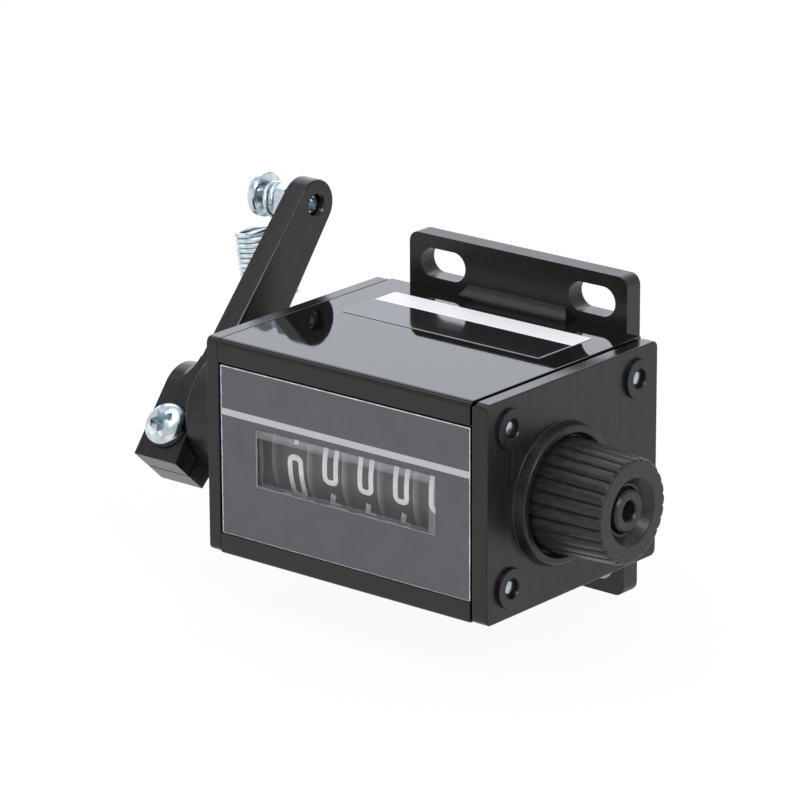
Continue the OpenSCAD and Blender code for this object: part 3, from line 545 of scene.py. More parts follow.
# The same zinc on spring wire: thinner and paler
SPRING_ZINC = ZincPlate("zinc_plated_wire", "#b4c6d0", 0.18, metallic=1.0, warm="#e4ebee")
# Drawn steel rod: plain grey metal with lines along it
STEEL = DrawnSteel("drawn_steel", "#a3aeb8", 0.26, metallic=1.0)
# Printed sticker film: a white field that stays even, and a black one that mirrors the room
STICKER = PlateSticker("printed_sticker_film", "#19191b", 0.08, 1.5)


def clear_selection() -> None:
    """Leaves edit mode and deselects everything, because operators act on all that is selected."""
    if bpy.context.object is not None and bpy.context.object.mode != "OBJECT":
        bpy.ops.object.mode_set(mode="OBJECT")
    bpy.ops.object.select_all(action="DESELECT")


class Workpiece:
    """A mesh on the bench, in millimetres, shaped with Blender's own tools."""

    def __init__(self, obj: bpy.types.Object) -> None:
        """Takes a mesh object on the bench."""
        self.obj = obj

    @classmethod
    def taken(cls, name: str) -> "Workpiece":
        """Takes the primitive that was just added, with its place in its mesh.

        Args:
            name: Name of the mesh.

        Returns:
            The piece.
        """
        obj = bpy.context.object
        obj.name = name
        bpy.ops.object.transform_apply(location=True, rotation=True, scale=True)
        return cls(obj)

    @classmethod
    def block(cls, name: str, low: Point, high: Point) -> "Workpiece":
        """Adds a block between two corners.

        Args:
            name: Name of the mesh.
            low: Lowest corner.
            high: Highest corner.

        Returns:
            The block.
        """
        clear_selection()
        bpy.ops.mesh.primitive_cube_add(size=1, location=[(a + b) / 2 for a, b in zip(low, high)])
        bpy.context.object.scale = [b - a for a, b in zip(low, high)]
        return cls.taken(name)

    @classmethod
    def bar(cls, name: str, start: Point, end: Point, radius: float, sides: int = 64,
            end_radius: float | None = None) -> "Workpiece":
        """Adds a round or tapered bar between two points.

        Args:
            name: Name of the mesh.
            start: Middle of one end.
            end: Middle of the other end.
            radius: Radius at the start.
            sides: Number of sides.
            end_radius: Radius at the end, if it differs.

        Returns:
            The bar.
        """
        clear_selection()
        a, b = Vector(start), Vector(end)
        bpy.ops.mesh.primitive_cone_add(
            vertices=sides, radius1=radius, radius2=radius if end_radius is None else end_radius,
            depth=(b - a).length, location=(a + b) / 2, rotation=(b - a).to_track_quat("Z", "Y").to_euler())
        return cls.taken(name)

    @classmethod
    def drawn(cls, name: str, points: Sequence[Point]) -> "Workpiece":
        """Draws a line from point to point by extruding its end.

        Args:
            name: Name of the mesh.
            points: Places along the line.

        Returns:
            The line.
        """
        clear_selection()
        bpy.ops.mesh.primitive_plane_add(size=1)
        line = cls.taken(name)
        with line.edit():
            bpy.context.tool_settings.mesh_select_mode = (True, False, False)
            bpy.ops.mesh.select_all(action="SELECT")
            bpy.ops.mesh.merge(type="CENTER")
            bpy.ops.transform.translate(value=points[0])
            for here, there in zip(points, points[1:]):
                step = [b - a for a, b in zip(here, there)]
                bpy.ops.mesh.extrude_region_move(TRANSFORM_OT_translate={"value": step})
        return line

    @classmethod
    def turned(cls, name: str, profile: Sequence[Flat], sides: int = 96) -> "Workpiece":
        """Spins a profile round Z, as on a lathe.

        Args:
            name: Name of the mesh.
            profile: Points as (radius, height) from one end to the other.
            sides: Number of steps of the spin.

        Returns:
            The turned piece.
        """
        piece = cls.drawn(name, [(radius, 0, height) for radius, height in profile])
        with piece.edit():
            bpy.ops.mesh.select_all(action="SELECT")
            bpy.ops.mesh.spin(steps=sides, angle=2 * math.pi, center=(0, 0, 0), axis=(0, 0, 1))
        return piece.closed()

    @classmethod
    def hull(cls, name: str, parts: Sequence["Workpiece"]) -> "Workpiece":
        """Wraps parts in one tight skin, flat faces made whole again.

        Args:
            name: Name of the mesh.
            parts: Pieces to wrap, which are used up.

        Returns:
            The wrapped piece.
        """
        piece = parts[0].joined(*parts[1:])
        piece.obj.name = name
        with piece.edit():
            bpy.ops.mesh.select_all(action="SELECT")
            bpy.ops.mesh.convex_hull()
            bpy.ops.mesh.select_all(action="SELECT")
            bpy.ops.mesh.dissolve_limited(angle_limit=math.radians(1.5))
        return piece

    @contextmanager
    def edit(self) -> Iterator[None]:
        """Opens the piece in edit mode for the length of a with block."""
        self.active()
        bpy.ops.object.mode_set(mode="EDIT")
        yield
        bpy.ops.object.mode_set(mode="OBJECT")

    def active(self) -> "Workpiece":
        """Makes this the one selected object.

        Returns:
            The piece itself.
        """
        clear_selection()
        self.obj.select_set(True)
        bpy.context.view_layer.objects.active = self.obj
        return self

    def closed(self) -> "Workpiece":
        """Merges doubled points and turns all faces outwards.

        Returns:
            The piece itself.
        """
        with self.edit():
            bpy.ops.mesh.select_all(action="SELECT")
            bpy.ops.mesh.remove_doubles(threshold=0.0005)
            bpy.ops.mesh.normals_make_consistent(inside=False)
        return self

    def pick(self, faces: Callable[[bmesh.types.BMFace], bool] | None = None,
             edges: EdgeTest | None = None, points: PointTest | None = None) -> None:
        """Selects faces, edges or points in edit mode by a test.

        Args:
            faces: Test for faces.
            edges: Test for edges.
            points: Test for the place of points.
        """
        mode = (points is not None, edges is not None, faces is not None)
        bpy.context.tool_settings.mesh_select_mode = mode
        bpy.ops.mesh.select_all(action="DESELECT")
        mesh = bmesh.from_edit_mesh(self.obj.data)
        for face in mesh.faces if faces else ():
            face.select_set(faces(face))
        for edge in mesh.edges if edges else ():
            edge.select_set(edges(edge))
        for point in mesh.verts if points else ():
            point.select_set(points(point.co))
        mesh.select_flush_mode()
        bmesh.update_edit_mesh(self.obj.data)

    def eased(self, width: float, steps: int, edges: EdgeTest, profile: float = 0.5) -> "Workpiece":
        """Rounds the edges that pass a test.

        Args:
            width: Width of the rounding.
            steps: Facets across it.
            edges: Test for the edges.
            profile: Shape of it: 0.5 is round, 0.25 flat and less is hollow.

        Returns:
            The piece itself.
        """
        with self.edit():
            self.pick(edges=edges)
            bpy.ops.mesh.bevel(offset=width, segments=steps, profile=profile, affect="EDGES")
        return self

    def moved(self, offset: Point, points: PointTest) -> "Workpiece":
        """Moves the points that pass a test.

        Args:
            offset: How far they move.
            points: Test for the points.

        Returns:
            The piece itself.
        """
        with self.edit():
            self.pick(points=points)
            bpy.ops.transform.translate(value=offset)
        return self

    def applied(self, kind: str, **settings) -> "Workpiece":
        """Adds a modifier with its settings and applies it.

        Args:
            kind: Blender's name of the modifier type.
            **settings: Properties of the modifier.

        Returns:
            The piece itself.
        """
        self.active()
        modifier = self.obj.modifiers.new(kind.lower(), kind)
        for key, value in settings.items():
            setattr(modifier, key, value)
        bpy.ops.object.modifier_apply(modifier=modifier.name)
        return self

    def _boolean(self, operation: str, others: Iterable["Workpiece"]) -> "Workpiece":
        """Cuts or fuses other pieces, which are used up.

        Args:
            operation: Blender's name of the operation.
            others: The other pieces.

        Returns:
            The piece itself.
        """
        for other in others:
            self.applied("BOOLEAN", operation=operation, object=other.obj, solver="EXACT")
            bpy.data.objects.remove(other.obj)
        return self

    def carved(self, *cutters: "Workpiece") -> "Workpiece":
        """Cuts the cutters out of the piece."""
        return self._boolean("DIFFERENCE", cutters)

    def fused(self, *parts: "Workpiece") -> "Workpiece":
        """Fuses parts into the piece."""
        return self._boolean("UNION", parts)

    def trimmed(self, *bounds: "Workpiece") -> "Workpiece":
        """Keeps what lies inside the bounds."""
        return self._boolean("INTERSECT", bounds)

    def joined(self, *parts: "Workpiece") -> "Workpiece":
        """Puts parts into the same mesh as they are.

        Args:
            *parts: The parts, which are used up.

        Returns:
            The piece itself.
        """
        self.active()
        for part in parts:
            part.obj.select_set(True)
        if parts:
            bpy.ops.object.join()
        return self

    def softened(self, width: float, steps: int = 2, angle: float = 40) -> "Workpiece":
        """Rounds all edges sharper than an angle, as a mould does."""
        return self.applied("BEVEL", width=width, segments=steps, limit_method="ANGLE",
                            angle_limit=math.radians(angle), miter_outer="MITER_ARC")

    def placed(self, matrix: Matrix) -> "Workpiece":
        """Moves the piece by a matrix, its place kept in its mesh.

        Args:
            matrix: The move.

        Returns:
            The piece itself.
        """
        self.active()
        self.obj.matrix_world = matrix
        bpy.ops.object.transform_apply(location=True, rotation=True, scale=True)
        return self

    def copied(self, offset: Point = (0, 0, 0)) -> "Workpiece":
        """Copies the piece, mesh and all, to another place.

        Args:
            offset: How far the copy lies from the piece.

        Returns:
            The copy.
        """
        self.active()
        bpy.ops.object.duplicate(linked=False)
        copy = Workpiece(bpy.context.object)
        return copy.placed(Matrix.Translation(offset))

    def painted(self, finish: Finish, faces: FaceTest | None = None) -> "Workpiece":
        """Gives the piece, or the faces that pass a test, a finish.

        Args:
            finish: The finish.
            faces: Test for the faces, or None for all.

        Returns:
            The piece itself.
        """
        materials = self.obj.data.materials
        if faces is None:
            materials.clear()
        materials.append(finish.material())
        if faces is not None:
            for face in self.obj.data.polygons:
                if faces(face):
                    face.material_index = len(materials) - 1
        return self

    def done(self, name: str, body: Body, nodes: Sequence[str], slot: str, smooth: float = 32) -> None:
        """Shades the piece, scales it to metres and hangs it on its body.

        Args:
            name: Name of the finished piece.
            body: Body that it rides on.
            nodes: Solids that it stands for.
            slot: The record's material slot; not used.
            smooth: Edges flatter than this angle look smooth.
        """
        self.active()
        bpy.ops.object.shade_smooth_by_angle(angle=math.radians(smooth))
        self.applied("WEIGHTED_NORMAL", keep_sharp=True, weight=80)
        self.active()
        self.obj.scale = (MM, MM, MM)
        bpy.ops.object.transform_apply(location=False, rotation=False, scale=True)
        self.obj.name = name
        self.obj.data.name = name
        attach(self.obj, body.value)
        if nodes:
            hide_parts(*nodes)
        LOG.info("%s: %d faces on %s", name, len(self.obj.data.polygons), body.value)


def runs_along(edge: bmesh.types.BMEdge, axis: int) -> bool:
    """Tells whether an edge runs along an axis."""
    step = edge.verts[1].co - edge.verts[0].co
    return abs(step[axis]) > 0.98 * step.length


def arc(centre: Flat, radius: float, start: float, end: float, steps: int) -> list[Flat]:
    """Points on an arc, from start to end in degrees."""
    turns = [math.radians(start + (end - start) * i / steps) for i in range(steps + 1)]
    return [(centre[0] + radius * math.cos(t), centre[1] + radius * math.sin(t)) for t in turns]


def along_x(start: float, yz: Flat = AXIS) -> Matrix:
    """Frame whose local z runs along +X from start, round a line at (Y, Z)."""
    return Matrix.Translation((start, *yz)) @ Matrix.Rotation(math.pi / 2, 4, "Y")


@dataclass
class CaseShell:
    """Glossy case with its label pocket and window, and the slotted flange moulded to its back."""

    front: float = CASE_Y[0]
    back: float = CASE_Y[1]
    bottom: float = CASE_Z[0]
    half_h: float = CASE_Z[1]
    corner_r: float = 0.8
    sill_r: float = 0.3
    seam: float = 0.14
    joint: Flat = (0.02, 0.2)
    hollow_low: Point = (-22.0, -32.1, -11.6)
    hollow_high: Point = (22.0, -4.5, 11.2)
    pocket_z: Flat = (-10.6, 10.2)
    lens_rim: float = 1.7
    window_gap: float = 0.15
    window_floor: float = -30.0
    neck_half: Flat = (15.9, 12.6)
    neck_reach: float = 1.5
    flange_w: float = 32.4
    flange_h: float = 39.0
    flange_r: float = 1.3
    flange_edge: float = 0.28
    flange_rim: float = 0.3
    slot_r: float = 1.8
    slot_run: float = 3.2
    slot_at: Flat = (11.1, 16.1)
    drill_y: Flat = (-8.0, 2.0)
    ramp: float = 1.4
    ramp_half_w: float = 8.4
    ramp_share: float = 0.97
    ramp_hollow: float = 0.16
    ramp_edge: float = 0.2
    ramp_sunk: float = 0.4
    head_r: float = 4.2

    def build(self) -> None:
        """Models the case and hangs it on the housing."""
        shell = Workpiece.block("case", (PLATES_X[0] + self.joint[0], self.front, self.bottom),
                                (PLATES_X[1] - self.joint[1], self.back, self.half_h))
        for radius, side in ((self.corner_r, 1), (self.sill_r, -1)):
            shell.eased(radius, 6, lambda e: (runs_along(e, 0) and e.verts[0].co.y < self.front + NEAR
                                              and e.verts[0].co.z * side > self.half_h - NEAR))
        shell.carved(*self.cutters())
        shell.softened(self.seam, 2)
        (x, z), reach = self.neck_half, self.neck_reach
        neck = Workpiece.block("neck", (-x, self.back - reach, -z), (x, self.back + reach, z))
        shell.fused(neck, self.flange(), *[self.ramp_piece(s) for s in (1, -1)])
        shell.painted(CASE_BLACK).painted(FLANGE_BLACK, self.on_flange)
        shell.painted(FLANGE_RIM, self.on_flange_rim)
        shell.done("case_shell", Body.HOUSING, ["case"], "gloss_black")

    def on_flange(self, face: bpy.types.MeshPolygon) -> bool:
        """Tells whether a face belongs to the flange or to its ramps."""
        _, y, z = face.center
        return y > self.back - NEAR or (abs(z) > self.half_h + 3 * NEAR and y > self.back - 2 * self.ramp)

    def on_flange_rim(self, face: bpy.types.MeshPolygon) -> bool:
        """Tells whether a face belongs to the flange's outer rim.

        Args:
            face: Face of the mesh.

        Returns:
            True on the rim.
        """
        x, y, z = face.center
        inside = min(self.flange_w / 2 - abs(x), self.flange_h / 2 - abs(z))
        return inside < self.flange_rim and y > self.back + NEAR / 2 and abs(face.normal.y) < 0.6

    def cutters(self) -> list[Workpiece]:
        """Models the pieces that hollow the case and open its front.

        Returns:
            The cutters.
        """
        (x0, x1), (z0, z1), grow, gap = WINDOW_X, WINDOW_Z, self.lens_rim, self.window_gap
        (left, right), (low, high) = (self.hollow_low[0], self.hollow_high[0]), self.pocket_z
        ahead = self.front - 1
        return [
            Workpiece.block("hollow", self.hollow_low, self.hollow_high),
            Workpiece.block("pocket", (left, ahead, low), (right, POCKET_Y, high)),
            Workpiece.block("rim", (x0 - grow, ahead, z0 - grow), (x1 + grow, LENS_Y, z1 + grow)),
            Workpiece.block("opening", (x0 - gap, ahead, z0 - gap), (x1 + gap, self.window_floor, z1 + gap)),
        ]

    def flange(self) -> Workpiece:
        """Models the flange plate with its four slots.

        Returns:
            The flange.
        """
        plate = Workpiece.block("flange", (-self.flange_w / 2, self.back, -self.flange_h / 2),
                                (self.flange_w / 2, 0, self.flange_h / 2))
        plate.eased(self.flange_r, 8, lambda e: runs_along(e, 1))
        for sx in (1, -1):
            for sz in (1, -1):
                x, z = sx * self.slot_at[0], sz * self.slot_at[1]
                slot = self.drilled(x, z, self.slot_r, 48)
                slot.moved((self.slot_run / 2, 0, 0), lambda p: p.x > x - 1e-4)
                slot.moved((-self.slot_run / 2, 0, 0), lambda p: p.x < x - 1e-3)
                plate.carved(slot)
        return plate.softened(self.flange_edge, 3)

    def drilled(self, x: float, z: float, radius: float, sides: int) -> Workpiece:
        """Gives the cutter of a hole through the flange."""
        return Workpiece.bar("drilled", (x, self.drill_y[0], z), (x, self.drill_y[1], z), radius, sides)

    def ramp_piece(self, side: int) -> Workpiece:
        """Models the hollow ramp between flange and case.

        Args:
            side: 1 for the top and -1 for the underside.

        Returns:
            The ramp, cut back round the screw heads.
        """
        outer = side * (self.half_h + self.ramp)
        z0, z1 = sorted((side * (self.half_h - self.ramp_sunk), outer))
        ramp = Workpiece.block("ramp", (-self.ramp_half_w, self.back - self.ramp, z0),
                               (self.ramp_half_w, self.back + self.ramp_sunk, z1))

        def at_crest(edge: bmesh.types.BMEdge) -> bool:
            """Tells whether an edge is the block's outer front edge, which the hollow takes away."""
            ahead = all(v.co.y < self.back - NEAR and abs(v.co.z - outer) < NEAR for v in edge.verts)
            return ahead and runs_along(edge, 0)

        ramp.eased(self.ramp * self.ramp_share, 8, at_crest, self.ramp_hollow)
        for sx in (1, -1):
            ramp.carved(self.drilled(sx * self.slot_at[0], side * self.slot_at[1], self.head_r, 96))
        return ramp.softened(self.ramp_edge, 3, 50)


@dataclass
class FaceLabel:
    """Printed label with its window opening, and the clear window behind it."""

    low: Point = (-18.8, -33.75, -10.58)
    high: Point = (18.15, POCKET_Y, 9.9)
    edge: float = 0.1
    lens_rim: float = 1.5
    lens_gap: float = 0.02
    lens_edge: float = 0.05

    def build(self) -> None:
        """Models the label and the window."""
        (x0, x1), (z0, z1) = WINDOW_X, WINDOW_Z
        label = Workpiece.block("label", self.low, self.high)
        label.carved(Workpiece.block("opening", (x0, self.low[1] - 1, z0), (x1, self.high[1] + 1, z1)))
        label.softened(self.edge, 2)
        # The rim's side below the white cut is painted black: painted shade of the gap round the label
        label.painted(LABEL_GREY).painted(CASE_BLACK, self.on_rim)
        label.painted(LABEL_EDGE, lambda f: self.on_rim(f) and f.center.y < self.low[1] + self.edge)
        label.done("face_label_film", Body.HOUSING, ["face_label"], "grey_label")
        self.build_window()

    def on_rim(self, face: bpy.types.MeshPolygon) -> bool:
        """Tells whether a face belongs to the label's outer rim, white at the cut and painted black below it
        as shade in the gap.

        Args:
            face: Face of the mesh.

        Returns:
            True on the rim.
        """
        x, _, z = face.center
        outer = min(x - self.low[0], self.high[0] - x, z - self.low[2], self.high[2] - z) < self.edge
        return outer and -0.95 < face.normal.y < 0.5

    def build_window(self) -> None:
        """Models the window: a plate with a raised pad that fills the label's opening."""
        (x0, x1), (z0, z1), rim = WINDOW_X, WINDOW_Z, self.lens_rim
        lens = Workpiece.block("lens", (x0 - rim, self.high[1], z0 - rim), (x1 + rim, LENS_Y, z1 + rim))
        pad = (0, self.low[1] - self.high[1], 0)
        with lens.edit():
            lens.pick(faces=lambda f: f.normal.y < -0.9)
            bpy.ops.mesh.inset(thickness=rim + self.lens_gap)
            bpy.ops.mesh.extrude_region_move(TRANSFORM_OT_translate={"value": pad})
        lens.softened(self.lens_edge, 2)
        lens.painted(WINDOW_CLEAR)
        lens.done("window_pane", Body.HOUSING, ["window_lens"], "clear_window")


@dataclass
class TopSticker:
    """Sticker on the top face, with a white field and a black one."""

    thick: float = 0.07
    corner_r: float = 0.4
    edge: float = 0.04

    def build(self) -> None:
        """Models the sticker with its round corners."""
        top = CASE_Z[1]
        film = Workpiece.block("sticker", (*STICKER_LOW, top), (*STICKER_HIGH, top + self.thick))
        film.eased(self.corner_r, 5, lambda e: runs_along(e, 2))
        film.softened(self.edge, 2)
        film.painted(STICKER)
        film.done("top_sticker_film", Body.HOUSING, ["top_sticker"], "sticker_film")


@dataclass
class EndPlate:
    """End plate of the case with its boss or collar and the seats of the tie rods."""

    side: Side
    inner: float
    outer: float
    edge: float = 0.2
    lip: float = 0.0
    y: Flat = CASE_Y
    z: Flat = CASE_Z
    corner_r: float = 0.8
    rim: float = 0.3
    rod_r: float = 0.87
    pad_r: float = 2.35
    pad_h: float = 0.5
    pad_edge: float = 0.12
    pad_sunk: float = 0.3
    pad_hole_r: float = 1.15
    mouth_flare: float = 0.3
    mouth_l: float = 6.0
    drill: float = 10.0
    play: float = 0.02
    bore_r: float = 2.55
    boss_r: float = 7.15
    boss_end: float = -29.65
    boss_edge: float = 0.3
    boss_foot: float = 0.6
    boss_sunk: float = 0.5
    collar_r: float = 8.35
    collar_in: float = 7.0
    collar_h: float = 1.4
    collar_edge: float = 0.3
    collar_draft: float = 0.25
    collar_foot: float = 0.12
    collar_sunk: float = 0.4

    def build(self) -> None:
        """Models the plate and hangs it on the housing."""
        x0, x1 = sorted((self.inner, self.outer))
        plate = Workpiece.block("plate", (x0, self.y[0], self.z[0]), (x1, self.y[1], self.z[1]))
        plate.eased(self.corner_r, 6, lambda e: runs_along(e, 0))
        plate.softened(self.edge, 3)
        if self.side is Side.LEVER:
            self.add_boss(plate)
        else:
            self.add_collar_and_pads(plate)
        if self.lip:
            low = (x0 - 1, self.y[0] - 1, self.z[1] - self.lip)
            plate.carved(Workpiece.block("lip", low, (x0 + self.lip, self.y[1] + 1, self.z[1] + 1)))
        plate.painted(PLATE_BLACK).painted(PLATE_RIM, self.on_rim)
        name = self.side.value
        plate.done(f"{name}_moulding", Body.HOUSING, [name], "satin_black")

    def on_rim(self, face: bpy.types.MeshPolygon) -> bool:
        """Tells whether a face belongs to the plate's thin outer rim.

        Args:
            face: Face of the mesh.

        Returns:
            True on the rim.
        """
        _, y, z = face.center
        inside = min(y - self.y[0], self.y[1] - y, z - self.z[0], self.z[1] - z)
        return inside < self.rim and abs(face.normal.x) < 0.5

    def drilled(self, yz: Flat, radius: float, sides: int) -> Workpiece:
        """Gives the cutter of a hole through the plate."""
        start, end = (self.outer - self.drill, *yz), (self.outer + self.drill, *yz)
        return Workpiece.bar("drilled", start, end, radius, sides)

    def add_boss(self, plate: Workpiece) -> None:
        """Adds the long bearing boss on the lever side.

        Args:
            plate: The plate that gets it.
        """
        length, edge, foot = self.outer - self.boss_end, self.boss_edge, self.boss_foot
        crown = arc((self.boss_r - edge, edge), edge, -90, 0, 4)
        root = arc((self.boss_r + foot, length - foot), foot, 180, 90, 5)
        end, bore = length + self.boss_sunk, self.bore_r
        profile = [(bore, 0), *crown, *root, (self.boss_r + foot, end), (bore, end), (bore, 0)]
        boss = Workpiece.turned("boss", profile, 96).placed(along_x(self.boss_end))
        plate.carved(self.drilled(AXIS, self.bore_r + self.play, 96))
        plate.fused(boss)
        for place in RODS:
            plate.carved(self.drilled(place, self.rod_r, 32))

    def add_collar_and_pads(self, plate: Workpiece) -> None:
        """Adds the collar round the knob and the pads round the rods' ends.

        Args:
            plate: The plate that gets them.
        """
        h, edge, foot, low = self.collar_h, self.collar_edge, self.collar_foot, -self.collar_sunk
        crown = arc((self.collar_r - self.collar_draft - edge, h - edge), edge, 90, 10, 4)
        inner, outer = self.collar_in, self.collar_r
        profile = [(inner, low), (inner, h - edge - NEAR), (inner + edge, h), *crown,
                   (outer, foot), (outer + foot, 0), (outer + foot, low), (inner, low)]
        plate.fused(Workpiece.turned("collar", profile, 128).placed(along_x(self.outer)))
        plate.carved(self.drilled(AXIS, self.bore_r + self.play, 96))
        for place in RODS:
            seat = along_x(self.outer, place)
            plate.fused(Workpiece.turned("pad", self.pad_profile(), 64).placed(seat))
            plate.carved(Workpiece.turned("mouth", self.mouth_profile(), 48).placed(seat))

    def pad_profile(self) -> list[Flat]:
        """Gives the outline of a pad, slightly sunk into the plate."""
        r, h, edge, low = self.pad_r, self.pad_h, self.pad_edge, -self.pad_sunk
        return [(0, low), (r, low), (r, h - edge), (r - edge / 3, h - edge / 3), (r - edge, h), (0, h)]

    def mouth_profile(self) -> list[Flat]:
        """Outlines the cutter that flares a pad's hole and drills the rod's below it.

        Returns:
            Points as (radius, height).
        """
        r, h, flare, low = self.pad_hole_r, self.pad_h - self.pad_edge, self.mouth_flare, -self.mouth_l
        return [(0, low), (self.rod_r, low), (self.rod_r, 0), (r, 0), (r, h), (r + flare, h + flare),
                (0, h + flare)]


@dataclass
class TieRods:
    """Four steel rods that hold the end plates on, headed on the lever side."""

    head_x: float = -21.4
    head_r: float = 1.5
    head_h: float = 0.7
    head_edge: float = 0.4
    rod_r: float = 0.85
    end_x: float = 20.75
    end_edge: float = 0.12

    def build(self) -> None:
        """Models one rod and copies it to the four corners."""
        length, edge, r = self.end_x - self.head_x, self.head_edge, self.rod_r
        crown = arc((self.head_r - edge, edge + 0.02), edge, -80, 0, 4)
        profile = [
            (0, 0), (self.head_r * 0.45, 0.04), *crown, (self.head_r, self.head_h), (r, self.head_h),
            (r, length - 0.2), (r - self.end_edge, length - 0.07), (r * 0.5, length - 0.01), (0, length),
        ]
        first = Workpiece.turned("rod", profile, 40)
        copies = [first.copied().placed(along_x(self.head_x, place)) for place in RODS[1:]]
        first.placed(along_x(self.head_x, RODS[0])).joined(*copies)
        first.painted(STEEL)
        first.done("tie_rod_set", Body.HOUSING, ["tie_rods"], "steel_rod")


@dataclass
class ResetKnob:
    """Fluted knob with a bevelled recess, and the drilled shaft end that stands in it."""

    start: float = 21.0
    face: float = 31.1
    base_r: float = 6.75
    face_r: float = 6.15
    flutes: int = 26
    per_flute: int = 10
    flute_depth: float = 0.3
    dish_r: float = 3.95
    dish: float = 1.2
    dish_floor_r: float = 3.0
    # Worn lip of the recess, as (outwards, down), and the fillet at its floor
    lip: tuple[Flat, ...] = ((0.25, 0.0), (0.07, 0.04), (-0.08, 0.2))
    floor_fillet: Flat = (0.15, 0.12)
    foot: Flat = (0.25, 0.3)
    rows_at: Flat = (0.3, 0.65)
    edge: float = 0.4
    rib_shape: float = 0.42
    rib_zone: float = 0.7
    groove: float = 0.28
    groove_l: float = 0.9
    play: float = 0.02
    shaft_r: float = 2.5
    shaft_edge: float = 0.25
    shaft_end: float = 30.7
    shaft_start: float = -13.15
    pilot_r: float = 1.2
    pilot_l: float = 3.2
    pilot_edge: float = 0.2
    hole_r: float = 1.2
    hole_l: float = 6.0
    hole_edge: float = 0.18
    drill_tip: float = 0.6

    def build(self) -> None:
        """Models the knob and its shaft."""
        self.build_knob()
        self.build_shaft()

    def build_knob(self) -> None:
        """Turns the knob's body and presses the flutes into it."""
        length, edge, (foot_in, foot_h) = self.face - self.start, self.edge, self.foot
        slope = (self.base_r - self.face_r) / length
        heights = (foot_h, *[length * share for share in self.rows_at], length - edge)
        rows = [(self.base_r - slope * h, h) for h in heights]
        nose = arc((self.face_r - edge, length - edge), edge, 0, 90, 3)[1:]
        bore, groove = self.shaft_r + self.play, self.shaft_r + self.groove
        floor, floor_r, (out, up) = length - self.dish, self.dish_floor_r, self.floor_fillet
        lip = [(self.dish_r + aside, length - down) for aside, down in self.lip]
        profile = [
            (bore, 0), (self.base_r - foot_in, 0), *rows, *nose, *lip,
            (floor_r + out, floor + up), (floor_r, floor), (groove, floor),
            (groove, floor - self.groove_l), (bore, floor - self.groove_l), (bore, 0),
        ]
        knob = Workpiece.turned("knob", profile, self.flutes * self.per_flute)
        self.press_flutes(knob)
        knob.placed(along_x(self.start)).painted(KNOB_BLACK)
        knob.done("reset_knob_moulding", Body.RESET, ["reset_knob"], "satin_black", smooth=50)

    def press_flutes(self, knob: Workpiece) -> None:
        """Draws the wall in between the ribs, one step of the flutes at a time.

        Args:
            knob: The turned body, standing on z = 0.
        """
        step = 2 * math.pi / (self.flutes * self.per_flute)
        with knob.edit():
            for k in range(self.per_flute):
                lobe = math.sin(math.pi * k / self.per_flute) ** self.rib_shape
                share = 1 - self.flute_depth * (1 - lobe) / self.base_r

                def in_flute(p: Vector, k: int = k) -> bool:
                    """Tells whether a point of the wall lies at step k of a flute."""
                    turn = round(math.atan2(p.y, p.x) / step) % self.per_flute
                    return turn == k and math.hypot(p.x, p.y) > self.face_r - self.rib_zone

                knob.pick(points=in_flute)
                bpy.ops.transform.resize(value=(share, share, 1), center_override=(0, 0, 0))

    def build_shaft(self) -> None:
        """Turns the shaft with its pilot and drilled end."""
        length, pilot, hole = self.shaft_end - self.shaft_start, self.pilot_l, self.hole_r
        profile = [
            (0, -pilot), (self.pilot_r - self.pilot_edge, -pilot), (self.pilot_r, -pilot + self.pilot_edge),
            (self.pilot_r, 0), (self.shaft_r, 0), (self.shaft_r, length - self.shaft_edge),
            (self.shaft_r - self.shaft_edge, length), (hole + self.hole_edge, length),
            (hole, length - self.hole_edge), (hole, length - self.hole_l),
            (0, length - self.hole_l - self.drill_tip),
        ]
        shaft = Workpiece.turned("shaft", profile, 72).placed(along_x(self.shaft_start))
        shaft.painted(KNOB_BLACK)
        shaft.done("reset_shaft_bar", Body.RESET, ["reset_shaft"], "satin_black")


